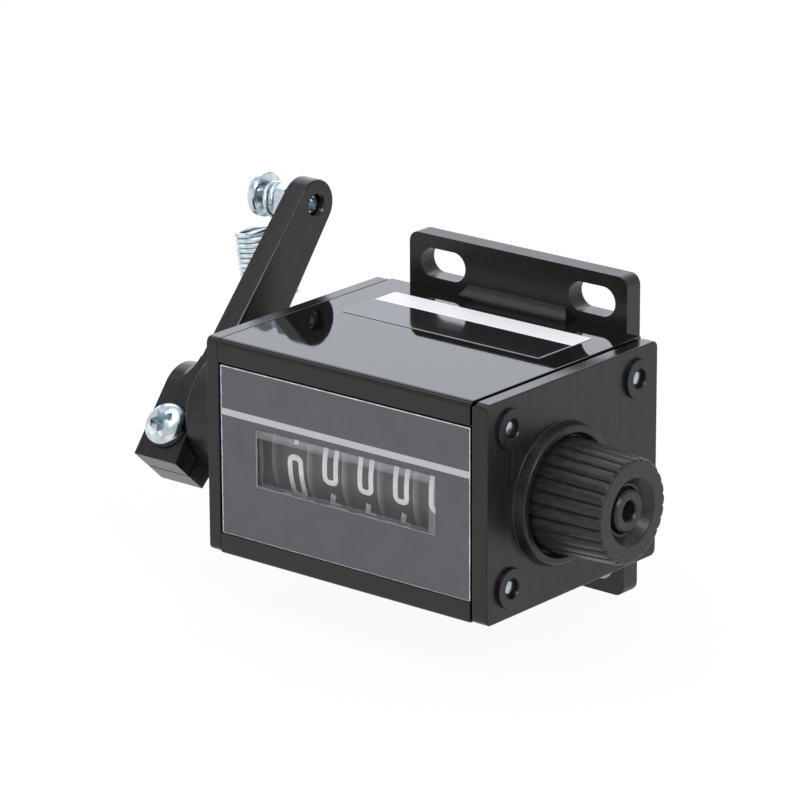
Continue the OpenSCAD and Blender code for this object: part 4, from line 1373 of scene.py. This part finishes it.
@dataclass
class StrokeLever:
    """Clamp lever on the drive shaft: tapered arm, hub, split clamp and their screws and nuts."""

    hub_end: float = -36.0
    hub_r: float = 4.25
    hub_l: float = 6.1
    arm_len: float = 27.2
    arm_t: float = 2.95
    tip_r: float = 3.15
    clamp_reach: float = 9.7
    clamp_w: float = 6.4
    clamp_over: float = 0.22
    clamp_skew: float = 2.7
    clamp_end: float = 0.5
    slit_w: float = 0.24
    screw_out: float = 5.5
    seat: float = 3.3
    bore_r: float = 2.5
    tip_hole_r: float = 1.27
    eye_flare: float = 0.4
    fillet_r: float = 1.5
    fillet_in: float = 0.6
    fillet_sunk: float = 0.4
    head_r: float = 2.75
    clamp_head_h: float = 2.2
    screw_turn: float = 28.0
    tip_head_h: float = 1.7
    tip_room: float = 3.0
    tip_sunk: float = 0.8
    nut_w: float = 5.5
    tip_nut_w: float = 5.0
    nut_t: float = 1.8
    nut_edge: float = 0.28
    nut_face: float = 0.97
    nut_ridge: float = 0.12
    nut_mouth: float = 0.5
    edge: float = 0.3
    screw_r: float = 1.5
    tip_screw_r: float = 1.25
    dome_foot: float = 0.3
    dome_shape: Flat = (0.72, 0.8)
    cross_half_w: float = 0.56
    cross_reach: float = 1.75
    cross_deep: float = 1.35
    cross_over: float = 0.25
    cross_taper: Flat = (0.4, 0.6)
    worn: float = 0.05
    slot_half_w: float = 0.32
    slot_deep: float = 0.55
    crown_foot: float = 0.45
    tip_slot_half_w: float = 0.42
    tip_slot_deep: float = 0.8
    tip_slot_turn: float = 8.0
    tip_neck: float = 0.25
    tip_end_r: float = 1.02
    tip_bore_r: Flat = (0.85, 0.78)
    tip_bore_l: Flat = (1.5, 1.8)
    head_edge: float = 0.15
    stem_edge: float = 0.3
    stem_past: float = 0.8
    pitch: float = 0.45
    lead: float = 0.2
    play: float = 0.02
    room: float = 0.1
    drill: float = 9.0
    shaft_l: float = 22.7
    shaft_bore: Flat = (1.25, 3.6)
    # Centre drilling in the shaft's outer end, as (radius, depth)
    centre: tuple[Flat, ...] = ((0, 0.9), (0.35, 0.7), (0.9, 0))

    def lever_frame(self, skew: float = 0.0) -> Matrix:
        """Frame of the lever: local x runs up the arm and local z along the shaft.

        Args:
            skew: Degrees that the frame is turned back from the arm.

        Returns:
            The frame.
        """
        turn = math.radians(LEVER_ANGLE - skew)
        along = Vector((0, math.cos(turn), math.sin(turn)))
        across = Vector((0, -math.sin(turn), math.cos(turn)))
        columns = Matrix((along, across, Vector((1, 0, 0)))).transposed()
        return Matrix.Translation((self.hub_end, *AXIS)) @ columns.to_4x4()

    def seat_frame(self, side: int) -> Matrix:
        """Frame on the clamp, its z outwards: side 1 is the screw's seat and -1 the nut's."""
        place = Matrix.Translation((-self.screw_out, side * self.seat, self.hub_l / 2))
        return self.lever_frame(self.clamp_skew) @ place @ Matrix.Rotation(-side * math.pi / 2, 4, "X")

    def build(self) -> None:
        """Models the lever and its fasteners."""
        self.build_arm()
        self.build_clamp_screw()
        self.build_tip_screw()
        self.build_nuts()
        self.build_shaft()

    def arm_slab(self, low: float, high: float) -> Workpiece:
        """Models the tapered arm between two heights.

        Args:
            low: Height of its outer face.
            high: Height of its inner face.

        Returns:
            The arm.
        """
        return Workpiece.hull("arm", [
            Workpiece.bar("root", (0, 0, low), (0, 0, high), self.hub_r, 96),
            Workpiece.bar("tip", (self.arm_len, 0, low), (self.arm_len, 0, high), self.tip_r, 72)])

    def clamp_block(self) -> Workpiece:
        """Models the hub and the clamp that runs out of it.

        Returns:
            Both in one.
        """
        half = self.clamp_w / 2
        return Workpiece.hull("clamp", [
            Workpiece.bar("hub", (0, 0, 0), (0, 0, self.hub_l), self.hub_r, 96),
            Workpiece.block("end", (-self.clamp_reach, -half, -self.clamp_over),
                            (-self.clamp_reach + self.clamp_end, half, self.hub_l + self.clamp_over))])

    def hollow_fillet(self) -> Workpiece:
        """Models the hollow fillet between the arm's outer face and the hub.

        Returns:
            The fillet.
        """
        base, r, inner = self.hub_l - self.arm_t, self.fillet_r, self.hub_r - self.fillet_in
        curve = arc((self.hub_r + r, base - r), r, 90, 180, 10)
        top = base + self.fillet_sunk
        profile = [(inner, top), (self.hub_r + r, top), *curve, (inner, base - r), (inner, top)]
        ring = Workpiece.turned("fillet", profile, 96)
        return ring.trimmed(self.arm_slab(0, self.hub_l))

    def build_arm(self) -> None:
        """Models the moulded lever."""
        arm = self.arm_slab(self.hub_l - self.arm_t, self.hub_l).softened(self.edge, 3)
        clamp = self.clamp_block().softened(self.edge, 3)
        clamp.placed(Matrix.Rotation(math.radians(-self.clamp_skew), 4, "Z"))
        arm.fused(clamp, self.hollow_fillet())
        eye, flare, end = self.tip_hole_r, self.eye_flare, self.drill
        top = self.hub_l + flare / 2
        eye_profile = [(0, -end), (eye, -end), (eye, top - flare), (eye + flare, top), (0, top)]
        arm.carved(Workpiece.bar("bore", (0, 0, -end), (0, 0, end), self.bore_r + self.play, 72),
                   Workpiece.turned("eye", eye_profile, 48).placed(Matrix.Translation((self.arm_len, 0, 0))))
        arm.placed(Matrix.Rotation(math.radians(self.clamp_skew), 4, "Z"))
        middle, out, half = self.hub_l / 2, -self.screw_out, self.slit_w / 2
        corner = self.corner_r(self.nut_w)
        arm.carved(
            Workpiece.block("slit", (-self.clamp_reach - 1, -half, -1), (0, half, end)),
            Workpiece.bar("hole", (out, -end, middle), (out, end, middle), self.screw_r + self.play, 48),
            Workpiece.bar("head", (out, self.seat, middle), (out, end, middle), self.head_r + self.room, 64),
            Workpiece.bar("nut", (out, -self.seat, middle), (out, -end, middle), corner + self.room, 64))
        arm.placed(self.lever_frame(self.clamp_skew)).painted(LEVER_BLACK)
        arm.done("lever_moulding", Body.LEVER, ["lever_arm"], "satin_black")

    def build_clamp_screw(self) -> None:
        """Models the domed clamp screw with its cross and slot."""
        r, h, stem_r, foot = self.head_r, self.clamp_head_h, self.screw_r, self.dome_foot
        quarter = arc((0, 0), 1, 0, 84, 14)
        wide, high = self.dome_shape
        dome = [(r * x ** wide, h * foot + h * (1 - foot) * y ** high) for x, y in quarter]
        low = -(2 * self.seat + self.nut_t + self.stem_past)
        profile = [(0, low), (stem_r - self.stem_edge, low), (stem_r, low + self.stem_edge), (stem_r, 0),
                   (r - self.head_edge, 0), (r, self.head_edge), *dome, (0, h)]
        screw = Workpiece.turned("screw", profile, 64)
        half = self.slot_half_w
        slot = Workpiece.block("slot", (-2 * r, -half, h - self.slot_deep), (2 * r, half, h + 1))
        screw.carved(self.tapered_key(0), self.tapered_key(90), slot).softened(self.worn, 2, 50)
        screw.placed(Matrix.Rotation(math.radians(self.screw_turn), 4, "Z"))
        screw.placed(self.seat_frame(1)).painted(ZINC)
        screw.done("clamp_screw_zinc", Body.LEVER, ["clamp_screw"], "zinc_steel")

    def tapered_key(self, turn: float) -> Workpiece:
        """Models one wing of the cross recess, which narrows as it goes in.

        Args:
            turn: Angle about z, in degrees.

        Returns:
            The cutter.
        """
        reach, half_w, low = self.cross_reach, self.cross_half_w, self.clamp_head_h - self.cross_deep
        high = self.clamp_head_h + self.cross_over
        key = Workpiece.block("key", (-reach, -half_w, low), (reach, half_w, high))
        with key.edit():
            key.pick(points=lambda p: p.z < low + NEAR)
            bpy.ops.transform.resize(value=(*self.cross_taper, 1), center_override=(0, 0, low))
        return key.placed(Matrix.Rotation(math.radians(turn), 4, "Z"))

    def thread(self, radius: float, low: float, high: float, depth: float = 0.2) -> list[Flat]:
        """Profile of a threaded stem, its ridges drawn as rings.

        Args:
            radius: Outer radius.
            low: Height where it starts.
            high: Height where it ends.
            depth: Depth of the valleys.

        Returns:
            Points from low to high.
        """
        pitch = self.pitch
        count = int((high - low) / pitch)
        points: list[Flat] = []
        for i in range(count):
            z = low + i * pitch
            points += [(radius - depth, z), (radius, z + pitch * 0.4), (radius, z + pitch * 0.6)]
        return [*points, (radius - depth, low + count * pitch)]

    def build_tip_screw(self) -> None:
        """Models the slotted screw at the arm's tip, its head outwards."""
        r, h, foot = self.head_r, self.tip_head_h, self.crown_foot
        reach = self.nut_t + self.tip_room + self.arm_t - self.tip_sunk
        crown = [(r * x, -h * foot - h * (1 - foot) * y) for x, y in arc((0, 0), 1, 80, 0, 8)]
        ridges = self.thread(self.tip_screw_r, self.lead / 2, reach - self.lead)
        (mouth, floor), (wall, point), edge = self.tip_bore_r, self.tip_bore_l, self.head_edge
        profile = [
            (0, -h), *crown, (r, -edge), (r - edge, 0), (self.tip_screw_r + self.tip_neck, 0), *ridges,
            (self.tip_end_r, reach), (mouth, reach), (floor, reach - wall), (0, reach - point),
        ]
        screw = Workpiece.turned("screw", profile, 56)
        half = self.tip_slot_half_w
        slot = Workpiece.block("slot", (-2 * r, -half, -h - 1), (2 * r, half, -h + self.tip_slot_deep))
        screw.carved(slot.placed(Matrix.Rotation(math.radians(self.tip_slot_turn), 4, "Z")))
        base = self.hub_l - self.arm_t - self.nut_t - self.tip_room
        screw.placed(self.lever_frame() @ Matrix.Translation((self.arm_len, 0, base))).painted(ZINC)
        screw.done("linkage_screw_zinc", Body.LEVER, ["linkage_screw"], "zinc_steel")

    @staticmethod
    def corner_r(width: float) -> float:
        """Gives the radius at a hexagon's corners from the width across its flats."""
        return width / 2 / math.cos(math.pi / 6)

    def hex_nut(self, hole_r: float, width: float) -> Workpiece:
        """Models a hexagon nut with turned corners, standing on z = 0.

        Args:
            hole_r: Radius of its threaded hole.
            width: Width across its flats.

        Returns:
            The nut.
        """
        corner, t, edge = self.corner_r(width), self.nut_t, self.nut_edge
        nut = Workpiece.bar("nut", (0, 0, 0), (0, 0, t), corner, 6)
        flat, wide = width / 2 * self.nut_face, corner + self.play
        chamfer = [(0, 0), (flat, 0), (wide, edge), (wide, t - edge), (flat, t), (0, t)]
        nut.trimmed(Workpiece.turned("chamfer", chamfer, 64))
        ridge, mouth, past = self.nut_ridge, hole_r + self.nut_mouth, 2 * self.lead
        rings = self.thread(hole_r + ridge, self.lead, t - self.lead, ridge)
        hole = [(0, -past), (mouth, -past), *rings, (mouth, t + past), (0, t + past)]
        return nut.carved(Workpiece.turned("hole", hole, 40))

    def build_nuts(self) -> None:
        """Models the two nuts."""
        base = self.hub_l - self.arm_t - self.nut_t
        tip = self.hex_nut(self.tip_screw_r, self.tip_nut_w)
        tip.placed(self.lever_frame() @ Matrix.Translation((self.arm_len, 0, base))).painted(ZINC)
        tip.done("linkage_nut_zinc", Body.LEVER, ["linkage_nut"], "zinc_steel")
        clamp = self.hex_nut(self.screw_r, self.nut_w).placed(self.seat_frame(-1)).painted(ZINC)
        clamp.done("clamp_nut_zinc", Body.LEVER, ["clamp_nut"], "zinc_steel")

    def build_shaft(self) -> None:
        """Turns the drive shaft, chamfered and centre drilled at its outer end."""
        r, edge, length, (bore, bore_l) = self.bore_r, self.edge, self.shaft_l, self.shaft_bore
        profile = [*self.centre, (r - edge, 0), (r, edge), (r, length), (bore, length),
                   (bore, length - bore_l), (0, length - bore_l)]
        shaft = Workpiece.turned("drive", profile, 72).placed(along_x(self.hub_end))
        shaft.painted(STEEL).done("drive_shaft_bar", Body.LEVER, ["drive_shaft"], "steel_rod")


@dataclass
class WoundSpring:
    """Round wire wound along a path of points."""

    wire: float
    points: list[Vector]

    def build(self, name: str, body: Body, nodes: Sequence[str]) -> None:
        """Draws the wire and makes it a mesh.

        Args:
            name: Name of the finished piece.
            body: Body that it rides on.
            nodes: Solids that it stands for.
        """
        clear_selection()
        bpy.ops.curve.primitive_nurbs_path_add()
        path = bpy.context.object
        path.data.splines.clear()
        spline = path.data.splines.new("POLY")
        spline.points.add(len(self.points) - 1)
        for knot, place in zip(spline.points, self.points):
            knot.co = (*place, 1)
        path.data.bevel_depth = self.wire / 2
        path.data.bevel_resolution = 3
        path.data.use_fill_caps = True
        path.data.twist_mode = "MINIMUM"
        bpy.ops.object.convert(target="MESH")
        spring = Workpiece.taken(name)
        spring.painted(SPRING_ZINC)
        spring.done(name, body, nodes, "spring_steel", smooth=60)


@dataclass
class HangingSpring:
    """Extension spring hooked on the tip screw: close turns between two side loops."""

    wire: float = 0.62
    radius: float = 3.2
    loop_r: float = 2.05
    loop_w: float = 1.5
    neck: float = 3.8
    bend: float = 1.8
    length: float = 8.0
    turns: int = 13
    per_turn: int = 36
    tilt: float = 9.5
    drop: float = 0.425
    hook: Point = (-36.15, -3.489, 20.297)
    loop_turn: Flat = (360.0, -180.0)
    loop_steps: int = 72
    neck_from: float = -45.0
    neck_steps: int = 24
    coil_from: float = 90.0

    def on_coil(self, turn: float, height: float) -> Vector:
        """Point on the coil at an angle in degrees and a height."""
        a = math.radians(turn)
        return Vector((self.radius * (math.cos(a) - 1), self.radius * math.sin(a), height))

    def end(self) -> list[Vector]:
        """Draws the loop of a turn and a half and the neck that runs into the coil.

        Returns:
            Points of the wire.
        """
        ring = arc((0, 0), self.loop_r, *self.loop_turn, self.loop_steps)
        points = [Vector((self.loop_w * (0.5 - i / self.loop_steps), y, z)) for i, (y, z) in enumerate(ring)]
        for i in range(self.neck_steps):
            u = i / self.neck_steps
            ease = u * u * (3 - 2 * u)
            height = self.neck - self.bend * (1 - u)
            turn = self.neck_from + (self.coil_from - self.neck_from) * u
            straight = Vector((-self.loop_w / 2, -self.loop_r, height))
            points.append(straight.lerp(self.on_coil(turn, height), ease))
        return points

    def build(self) -> None:
        """Winds the spring and hangs it on the screw."""
        top = self.end()
        steps = self.turns * self.per_turn
        coil = [self.on_coil(self.coil_from + 360 * i / self.per_turn, self.neck + self.length * i / steps)
                for i in range(steps + 1)]
        far = 2 * self.neck + self.length
        low = [Vector((-2 * self.radius - p.x, p.y, far - p.z)) for p in reversed(top)]
        hang = (Matrix.Translation(self.hook) @ Matrix.Rotation(math.pi, 4, "X")
                @ Matrix.Rotation(math.radians(self.tilt), 4, "Y") @ Matrix.Translation((0, 0, self.drop)))
        WoundSpring(self.wire, [hang @ p for p in [*top, *coil, *low]]).build(
            "extension_spring_wire", Body.SPRING, ["extension_spring"])


@dataclass
class ReturnSpring:
    """Torsion spring round the drive shaft, inside the lever-side plate."""

    wire: float = 0.7
    radius: float = 4.3
    start: float = PLATES_X[0]
    room: float = 4.1
    gap: float = 0.25
    turns: float = 2.5
    leg: float = 1.35
    first: float = 120.0
    steps: int = 96

    def build(self) -> None:
        """Winds the spring with its two legs."""
        travel, start = self.room - self.wire - 2 * self.gap, self.start + self.wire / 2 + self.gap
        ring = arc(AXIS, self.radius, self.first, self.first + 360 * self.turns, self.steps)
        coil = [Vector((start + travel * i / self.steps, *place)) for i, place in enumerate(ring)]
        legs = []
        for end in (coil[0], coil[-1]):
            middle = Vector((end.x, *AXIS))
            legs.append(middle + (end - middle) * self.leg)
        wire = WoundSpring(self.wire, [legs[0], *coil, legs[1]])
        wire.build("return_spring_wire", Body.HOUSING, ["return_spring"])


@dataclass
class DigitRing:
    """White digits printed round one number wheel."""

    body: Body
    index: int
    first_angle: float
    wheel_r: float = 10.4
    rim_w: float = 3.65
    shift: float = 0.3
    half_w: float = 0.82
    half_h: float = 2.5
    stroke: float = 0.68
    ink_t: float = 0.03
    corner_steps: int = 6
    corner_share: float = 0.48
    step: float = 0.3

    def strokes(self, digit: int) -> list[tuple[list[Flat], bool, float]]:
        """Gives the lines of a digit, upright.

        Args:
            digit: From 0 to 9.

        Returns:
            Corner points, whether the line closes, and the corners' radius, for each line.
        """
        a, b = self.half_w, self.half_h
        bowl = [(-a, -0.9), (a, -0.9), (a, b), (-a, b)]
        tail = [(0.5, -0.9), (-0.15, -b)]
        lines = {
            0: [([(-a, -b), (a, -b), (a, b), (-a, b)], True, 0.7)],
            1: [([(0, -b), (0, b)], False, 0.1)],
            2: [([(-a, b - 1.1), (-a, b), (a, b), (a, 0.3), (-a, -b), (a, -b)], False, 0.55)],
            3: [([(-a, b - 1), (-a, b), (a, b), (a, 0.1), (-0.2, 0.1)], False, 0.55),
                ([(0, 0.1), (a, 0.1), (a, -b), (-a, -b), (-a, -b + 1)], False, 0.55)],
            4: [([(0.4, -b), (0.4, b), (-a - 0.1, -0.9), (a + 0.1, -0.9)], False, 0.12)],
            5: [([(a, b), (-a, b), (-a, 0.4), (a, 0.4), (a, -b), (-a, -b), (-a, -b + 0.9)], False, 0.5)],
            6: [([(-x, -y) for x, y in bowl], True, 0.6), ([(-x, -y) for x, y in tail], False, 0.7)],
            7: [([(-a, b), (a, b), (-0.2, -b)], False, 0.2)],
            8: [([(-a + 0.1, 0.2), (a - 0.1, 0.2), (a - 0.1, b), (-a + 0.1, b)], True, 0.5),
                ([(-a, -b), (a, -b), (a, 0.2), (-a, 0.2)], True, 0.6)],
            9: [(bowl, True, 0.6), (tail, False, 0.7)],
        }
        return lines[digit]

    def rounded(self, corners: list[Flat], closed: bool, radius: float) -> list[Vector]:
        """Rounds the corners of a line and sets points close enough to wrap round the wheel.

        Args:
            corners: Corner points.
            closed: Whether the line closes.
            radius: Radius of the corners.

        Returns:
            The points of the line.
        """
        points = [Vector(c) for c in corners]
        count = len(points)
        rough: list[Vector] = []
        for i, corner in enumerate(points):
            if not closed and i in (0, count - 1):
                rough.append(corner)
                continue
            before, after = points[i - 1] - corner, points[(i + 1) % count] - corner
            reach = min(radius, before.length * self.corner_share, after.length * self.corner_share)
            p, q = corner + before.normalized() * reach, corner + after.normalized() * reach
            for k in range(self.corner_steps + 1):
                u = k / self.corner_steps
                rough.append(p * (1 - u) ** 2 + corner * 2 * u * (1 - u) + q * u * u)
        if closed:
            rough.append(rough[0].copy())
        fine = [rough[0]]
        for p, q in zip(rough, rough[1:]):
            parts = max(1, int((q - p).length / self.step))
            fine += [p.lerp(q, k / parts) for k in range(1, parts + 1)]
        return fine

    def ribbon(self, line: list[Vector], closed: bool) -> Workpiece:
        """Draws a line as a flat stroke with square ends.

        Args:
            line: Points of the line.
            closed: Whether its ends meet.

        Returns:
            The stroke, flat on z = 0.
        """
        clear_selection()
        bpy.ops.mesh.primitive_plane_add(size=1)
        piece = Workpiece.taken("stroke")
        half = self.stroke / 2
        sides = []
        last = len(line) - 1
        for i, p in enumerate(line):
            before = line[i - 1] if i else (line[last - 1] if closed else p)
            after = line[i + 1] if i < last else (line[1] if closed else p)
            way = (after - before).normalized()
            sides.append((p, Vector((-way.y, way.x)) * half))
        with piece.edit():
            bpy.ops.mesh.delete(type="VERT")
        mesh = piece.obj.data
        mesh.from_pydata([(*(p + s * n), 0) for p, n in sides for s in (1, -1)], [],
                         [(2 * i, 2 * i + 1, 2 * i + 3, 2 * i + 2) for i in range(last)])
        return piece.closed()

    def build(self) -> None:
        """Prints the ten digits round the wheel."""
        strokes = []
        for digit in range(10):
            for corners, closed, radius in self.strokes(digit):
                flat = self.ribbon(self.rounded(corners, closed, radius), closed)
                self.wrap(flat, self.first_angle + 360 / 10 * digit)
                strokes.append(flat)
        ring = strokes[0].joined(*strokes[1:])
        ring.applied("SOLIDIFY", thickness=self.ink_t * 2, offset=0.0)
        ring.painted(DIGIT_WHITE)
        ring.done(f"{self.body.value}_digits", self.body, [], "wheel_grey")

    def wrap(self, flat: Workpiece, angle: float) -> None:
        """Turns a flat stroke over and lays it round the wheel.

        Args:
            flat: The stroke.
            angle: Place of the digit's middle above the front, in degrees.
        """
        middle = WHEEL_ROW + self.index * WHEEL_PITCH + WHEEL_GAP + self.rim_w / 2 + self.shift
        r = self.wheel_r
        for point in flat.obj.data.vertices:
            u, v, _ = point.co
            turn = math.radians(angle) - v / r
            point.co = (middle - u, AXIS[0] - r * math.cos(turn), AXIS[1] + r * math.sin(turn))


@dataclass
class WheelMask:
    """Ribs inside the front wall that close the gaps between the number wheels behind the window."""

    count: int = 5
    clearance: float = 0.06
    edge: float = 0.1
    outer_r: float = 10.38
    inner_r: float = 10.08
    wall_y: float = -32.15
    bow: Flat = (-31.0, 27.0)
    reach: float = 52.0

    def outline(self) -> list[Flat]:
        """Outlines a rib: feet on the wall and a bow across the window.

        Returns:
            Points as (Y, Z).
        """
        (low, high), wall, reach = self.bow, self.wall_y, self.reach
        front = [(AXIS[0] - x, AXIS[1] + y) for x, y in arc((0, 0), self.outer_r, high, low, 24)]
        inner = [(AXIS[0] - x, AXIS[1] + y) for x, y in arc((0, 0), self.inner_r, -reach, reach, 40)]
        return [(wall, inner[-1][1]), (wall, front[0][1]), *front, (wall, front[-1][1]),
                (wall, inner[0][1]), *inner]

    def build(self) -> None:
        """Models one rib and copies it to each gap."""
        start, width = WHEEL_ROW + self.clearance, WHEEL_GAP - 2 * self.clearance
        rib = Workpiece.drawn("rib", [(start, *place) for place in self.outline()])
        with rib.edit():
            bpy.ops.mesh.select_all(action="SELECT")
            bpy.ops.mesh.edge_face_add()
            bpy.ops.mesh.extrude_region_move(TRANSFORM_OT_translate={"value": (width, 0, 0)})
        rib.closed().softened(self.edge, 2)
        copies = [rib.copied((k * WHEEL_PITCH, 0, 0)) for k in range(1, self.count)]
        # The ribs' grey carries painted light at their left edges and painted shade towards their right
        rib.joined(*copies).painted(MASK_GREY_PAINTED_SHADE)
        rib.done("wheel_mask_ribs", Body.HOUSING, [], "gloss_black")


class Mechanism:
    """Solids of the works that stay as they are and only get their finish."""

    FINISHES: dict[Finish, tuple[str, ...]] = {
        WHEEL_GREY: ("units_wheel", "tens_wheel", "hundreds_wheel", "thousands_wheel", "ten_thousands_wheel",
                     "drive_plate"),
        GEAR_NYLON: ("transfer_pinion_1", "transfer_pinion_2", "transfer_pinion_3", "transfer_pinion_4",
                     "units_ratchet", "drive_pawl", "reset_cam"),
        STEEL: ("pinion_shaft", "pawl_pin"),
        SPRING_ZINC: ("holding_spring", "detent_spring", "pawl_spring", "shaft_clip"),
    }

    def dress(self) -> None:
        """Gives each solid its finish."""
        for finish, names in self.FINISHES.items():
            for name in names:
                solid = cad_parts[name]
                solid.data.materials.clear()
                solid.data.materials.append(finish.material())
                LOG.info("%s: %s", name, finish.name)


@dataclass
class Studio:
    """White studio: pale floor, broad soft lamps and the camera at the photograph's angle."""

    camera_at: Point = (340.596, -434.150, 180.720)
    camera_turn: Point = (71.94975, 0.23518, 39.62717)
    lens: float = 220.51
    sensor: float = 36.0
    clip: Flat = (0.01, 20.0)
    floor_z: float = -20.0
    floor_size: float = 8.0
    floor_color: str = "#f2f2f2"
    floor_glow: float = 0.94
    world_strength: float = 0.75
    aim: Point = (0, -15, 0)

    def build(self) -> None:
        """Sets up floor, world, lamps and camera."""
        self.build_floor()
        self.build_world()
        self.add_lamp("rear_panel", place=(-640, 760, 520), size=(1.3, 1.0), power=5.2, color="#ecf2ff")
        self.add_lamp("top_box", place=(-150, -250, 900), size=(0.9, 0.9), power=2.6)
        self.add_lamp("left_box", place=(-800, -420, 60), size=(0.6, 0.6), power=0.8)
        self.add_lamp("right_key", place=(780, -330, 580), size=(0.2, 0.3), power=3.4)
        self.build_camera()
        bpy.context.scene.view_settings.view_transform = "Standard"

    def build_floor(self) -> None:
        """Adds the floor, white to the eye and with a faint shadow."""
        clear_selection()
        bpy.ops.mesh.primitive_plane_add(size=self.floor_size, location=(0, 0, self.floor_z * MM))
        floor = bpy.context.object
        floor.name = "floor"
        made = bpy.data.materials.new("white_paper_floor")
        made.use_nodes = True
        tree = made.node_tree
        tree.nodes.clear()
        paper = add_node(tree, "BsdfDiffuse", {"Color": linear(self.floor_color)})
        glow = add_node(tree, "Emission", {"Color": (1, 1, 1, 1), "Strength": 1.0})
        rays = add_node(tree, "LightPath").outputs
        seen = rays["Is Camera Ray"]
        for ray in ("Is Glossy Ray", "Is Transmission Ray"):
            seen = add_node(tree, "Math", {0: seen, 1: rays[ray]}, operation="MAXIMUM")
        share = add_node(tree, "Math", {0: seen, 1: self.floor_glow}, operation="MULTIPLY")
        mix = add_node(tree, "MixShader", {0: share, 1: paper, 2: glow})
        add_node(tree, "OutputMaterial", {"Surface": mix})
        floor.data.materials.append(made)

    def build_world(self) -> None:
        """Sets the even light of the white room."""
        world = bpy.data.worlds.new("white_room")
        world.use_nodes = True
        tree = world.node_tree
        plug(tree, tree.nodes["Background"], {"Color": (1, 1, 1, 1), "Strength": self.world_strength})
        bpy.context.scene.world = world

    def add_lamp(self, name: str, place: Point, size: Flat, power: float, color: str = "#ffffff") -> None:
        """Adds a soft box that faces the counter.

        Args:
            name: Name of the lamp.
            place: Where it hangs, in millimetres.
            size: Width and height in metres.
            power: Power in watts.
            color: Colour of its light.
        """
        clear_selection()
        at, to = Vector(place) * MM, Vector(self.aim) * MM
        facing = (to - at).to_track_quat("-Z", "Y").to_euler()
        bpy.ops.object.light_add(type="AREA", location=at, rotation=facing)
        lamp = bpy.context.object
        lamp.name = name
        lamp.data.shape = "RECTANGLE"
        lamp.data.size, lamp.data.size_y = size
        lamp.data.energy = power
        lamp.data.color = linear(color)[:3]

    def build_camera(self) -> None:
        """Places the camera as fitted to the photograph."""
        clear_selection()
        bpy.ops.object.camera_add(location=Vector(self.camera_at) * MM,
                                  rotation=[math.radians(a) for a in self.camera_turn])
        camera = bpy.context.object
        camera.data.lens = self.lens
        camera.data.sensor_width = self.sensor
        camera.data.clip_start, camera.data.clip_end = self.clip
        bpy.context.scene.camera = camera


def main() -> None:
    """Builds the counter's pieces in order."""
    logging.basicConfig(level=logging.INFO, format="%(name)s %(message)s")
    Studio().build()
    CaseShell().build()
    FaceLabel().build()
    TopSticker().build()
    EndPlate(Side.LEVER, inner=PLATES_X[0], outer=-20.7, edge=0.08).build()
    EndPlate(Side.KNOB, inner=PLATES_X[1], outer=20.7, lip=0.5).build()
    TieRods().build()
    ResetKnob().build()
    StrokeLever().build()
    HangingSpring().build()
    ReturnSpring().build()
    WheelMask().build()
    wheels = (Body.UNITS, Body.TENS, Body.HUNDREDS, Body.THOUSANDS, Body.TEN_THOUSANDS)
    for index, body in enumerate(wheels):
        DigitRing(body, index, UNITS_ANGLE if body is Body.UNITS else WHEEL_ANGLE).build()
    Mechanism().dress()
    clear_selection()


if __name__ == "__main__":
    main()
